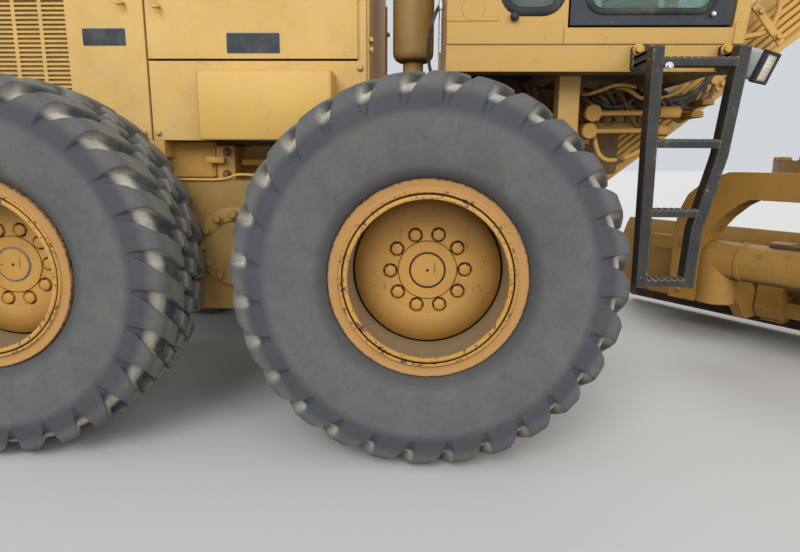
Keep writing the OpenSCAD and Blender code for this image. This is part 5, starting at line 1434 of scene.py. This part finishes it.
class GRADER_OT_blade(bpy.types.Operator):
    """Fit the circle's, the yoke's and the moldboard's bolts, collars and dirt"""

    bl_idname = "grader.blade"
    bl_label = "Blade fittings"

    def execute(self, context):
        tube = joined(
            *[
                drum(
                    (s * 0.60, 0.694, 0.515), "+x",
                    [(0.0995, -0.012), (0.106, -0.009), (0.106, 0.009), (0.0995, 0.012)], 48)
                for s in (-1, 1)],
            *[
                drum(
                    (s * 0.740, 0.694, 0.2795), "-z",
                    [(1e-4, -0.001), (0.070, -0.001), (0.070, 0.008), (0.062, 0.012), (1e-4, 0.012)], 40)
                for s in (-1, 1)])
        blade_fitting("tube_collars", tube, "deep")
        a = np.linspace(-np.pi / 2, np.pi / 2, 9)
        oblong = np.vstack([
            np.stack([0.46 + 0.030 * np.cos(a), 0.030 * np.sin(a)], -1),
            np.stack([-0.46 - 0.030 * np.cos(a), -0.030 * np.sin(a)], -1)])
        trough = [
            [(x * k, 0.694 + y * k_y, z) for x, y in oblong] for k, k_y, z in (
                (1.0, 1.0, 0.606), (1.0, 1.0, 0.622), (0.985, 0.78, 0.623), (0.98, 0.70, 0.608))]
        slot_ring = Shape()
        slot_ring.grid(np.array(trough), close_v=True, caps=True, flip=True)
        blade_fitting("tube_trough", slot_ring, "dirt")
        ring = [
            (
                (0.712 if k % 2 else 0.752) * math.cos(k * math.pi / 18),
                (0.712 if k % 2 else 0.752) * math.sin(k * math.pi / 18), 1.0452)
            for k in range(36)]
        blade_fitting("circle_bolts", bolts(ring, "+z", 0.026, 0.003), "deep")
        yoke = joined(
            *[bolts([(s * 0.885, 0.8005, z) for z in (0.34, 0.60)], "+y", 0.030, 0.004) for s in (-1, 1)])
        blade_fitting("yoke_bolts", yoke, "deep")
        heads = joined(
            *[
                bolts([(x, 0.2218, z)], "+y", 0.024, 0.003)
                for x in np.arange(-1.1, 1.25, 0.22) for z in (0.158, 0.232, 0.468, 0.542)])
        shifted = Shape()
        shifted.moved(Matrix.Translation((BLADE_SHIFT, 0, 0)), heads)
        blade_fitting("rail_bolts", shifted, "deep", "blade")
        ploughs = Shape()
        for x in np.arange(-1.75, 1.76, 0.1524):
            turn = Matrix.Translation(
                (x + BLADE_SHIFT, -0.353, 0.345)) @ Matrix.Rotation(math.radians(-33), 4, "X")
            ploughs.moved(
                turn @ Matrix.Translation((0, 0.4355, 0)),
                drum(
                    (0, 0, 0), "+y",
                    [(1e-4, 0), (0.013, 0), (0.013, 0.012), (0.009, 0.016), (1e-4, 0.016)], 20))
        blade_fitting("edge_nuts", ploughs, "edge_steel", "blade")
        motor = joined(
            drum(
                (3.92, 0.0, 1.376), "+z",
                [(1e-4, -0.001), (0.092, -0.001), (0.092, 0.010), (0.060, 0.016), (1e-4, 0.016)], 48),
            bolts([
                (3.92 + 0.082 * math.cos(k * math.pi / 3), 0.082 * math.sin(k * math.pi / 3), 1.386)
                for k in range(6)], "+z", 0.020, 0.003))
        fitting("drive_cap", motor, "deep", "drawbar")
        return {"FINISHED"}


# Stage


class GRADER_OT_stage(bpy.types.Operator):
    """Set the pale floor, the soft lights, the world and the camera at the photograph's viewing angle"""

    bl_idname = "grader.stage"
    bl_label = "Stage"

    def execute(self, context):
        scene = context.scene
        scene.view_settings.view_transform = "Standard"
        mesh = bpy.data.meshes.new("floor")
        size = 60.0
        mesh.from_pydata(
            [(-size, -size, 0), (size, -size, 0), (size, size, 0), (-size, size, 0)], [], [(0, 1, 2, 3)])
        floor = bpy.data.objects.new("floor", mesh)
        scene.collection.objects.link(floor)
        m, _, shader = new_material("pale_floor")
        shader.inputs["Base Color"].default_value = srgb(200, 198, 194)
        shader.inputs["Roughness"].default_value = 0.9
        mesh.materials.append(m)
        world = bpy.data.worlds.new("soft_sky")
        world.use_nodes = True
        w = world.node_tree
        back = w.nodes["Background"]
        back.inputs["Color"].default_value = (0.86, 0.90, 0.95, 1)
        back.inputs["Strength"].default_value = 0.80
        seen = add_node(w, "ShaderNodeBackground", {"Color": srgb(208, 212, 217), "Strength": 1.0})
        path = add_node(w, "ShaderNodeLightPath")
        seen_or_shone = maths(
            w, "MAXIMUM", path.outputs["Is Camera Ray"],
            maths(w, "MAXIMUM", path.outputs["Is Glossy Ray"], path.outputs["Is Transmission Ray"]))
        mix = add_node(w, "ShaderNodeMixShader", {0: seen_or_shone, 1: back.outputs[0], 2: seen.outputs[0]})
        w.links.new(mix.outputs[0], w.nodes["World Output"].inputs[0])
        scene.world = world
        for name, strength, where, aim in (
            ("key_light", 1.70, (-3.5, -8.0, 6.5), (-1.0, 0, 0.8)),
            ("fill_light", 0.80, (6.0, -7.0, 4.0), (0.5, 0, 0.8)),
            ("rim_light", 0.90, (1.0, 8.0, 7.0), (0, 0, 1.0)),
        ):
            light = bpy.data.lights.new(name, "SUN")
            light.energy, light.angle = strength, math.radians(35)
            lamp = bpy.data.objects.new(name, light)
            scene.collection.objects.link(lamp)
            forward = (
                Matrix.Translation(aim).translation - Matrix.Translation(where).translation).normalized()
            lamp.location = where
            lamp.rotation_mode = "QUATERNION"
            lamp.rotation_quaternion = forward.to_track_quat("-Z", "Y")
        camera = bpy.data.cameras.new("camera")
        camera.lens, camera.sensor_width = 26.434, 36.0
        camera.clip_start, camera.clip_end = 0.05, 200.0
        eye = bpy.data.objects.new("camera", camera)
        scene.collection.objects.link(eye)
        yaw, pitch, roll = (math.radians(v) for v in (-2.228, 11.3, 0.386))
        ahead = np.array([math.sin(yaw) * math.cos(pitch), math.cos(yaw) * math.cos(pitch), -math.sin(pitch)])
        right = np.array([math.cos(yaw), -math.sin(yaw), 0.0])
        up = np.cross(right, ahead)
        level = np.stack([right, up])
        turn = np.array([[math.cos(roll), math.sin(roll)], [-math.sin(roll), math.cos(roll)]])
        right, up = turn @ level
        middle = hub("middle", "right")
        m = np.eye(4)
        m[:3, 0], m[:3, 1], m[:3, 2] = right, up, -ahead
        m[:3, 3] = middle + (-0.0175, -2.066, 0.392)
        eye.matrix_world = Matrix(m.tolist())
        scene.camera = eye
        return {"FINISHED"}


class GRADER_OT_finishes(bpy.types.Operator):
    """Make the materials and put them on the CAD nodes"""

    bl_idname = "grader.finishes"
    bl_label = "Finishes"

    def execute(self, context):
        build_materials()
        return {"FINISHED"}


STEPS = [
    GRADER_OT_stage, GRADER_OT_finishes, GRADER_OT_wheels, GRADER_OT_hood, GRADER_OT_cab,
    GRADER_OT_canister, GRADER_OT_under_cab, GRADER_OT_ladders, GRADER_OT_lamps, GRADER_OT_frame,
    GRADER_OT_beam, GRADER_OT_blade]


class GRADER_PT_panel(bpy.types.Panel):
    """Lists the building steps and the sizes and colours they read"""

    bl_label = "Motor grader"
    bl_idname = "GRADER_PT_panel"
    bl_space_type = "VIEW_3D"
    bl_region_type = "UI"
    bl_category = "Grader"

    def draw(self, context):
        for step_class in STEPS:
            self.layout.operator(step_class.bl_idname)
        for group in (context.scene.grader_sizes, context.scene.grader_colours):
            for key in group.__annotations__:
                self.layout.prop(group, key)


CLASSES = [GraderSizes, GraderColours, *STEPS, GRADER_PT_panel]


def register():
    for c in CLASSES:
        bpy.utils.register_class(c)
    bpy.types.Scene.grader_sizes = PointerProperty(type=GraderSizes)
    bpy.types.Scene.grader_colours = PointerProperty(type=GraderColours)


def unregister():
    del bpy.types.Scene.grader_colours, bpy.types.Scene.grader_sizes
    for c in reversed(CLASSES):
        bpy.utils.unregister_class(c)


def main():
    register()
    for step_class in STEPS:
        area, name = step_class.bl_idname.split(".")
        result = getattr(getattr(bpy.ops, area), name)()
        if result != {"FINISHED"}:
            raise RuntimeError(f"{step_class.bl_label} didn't finish")


if __name__ == "__main__":
    main()
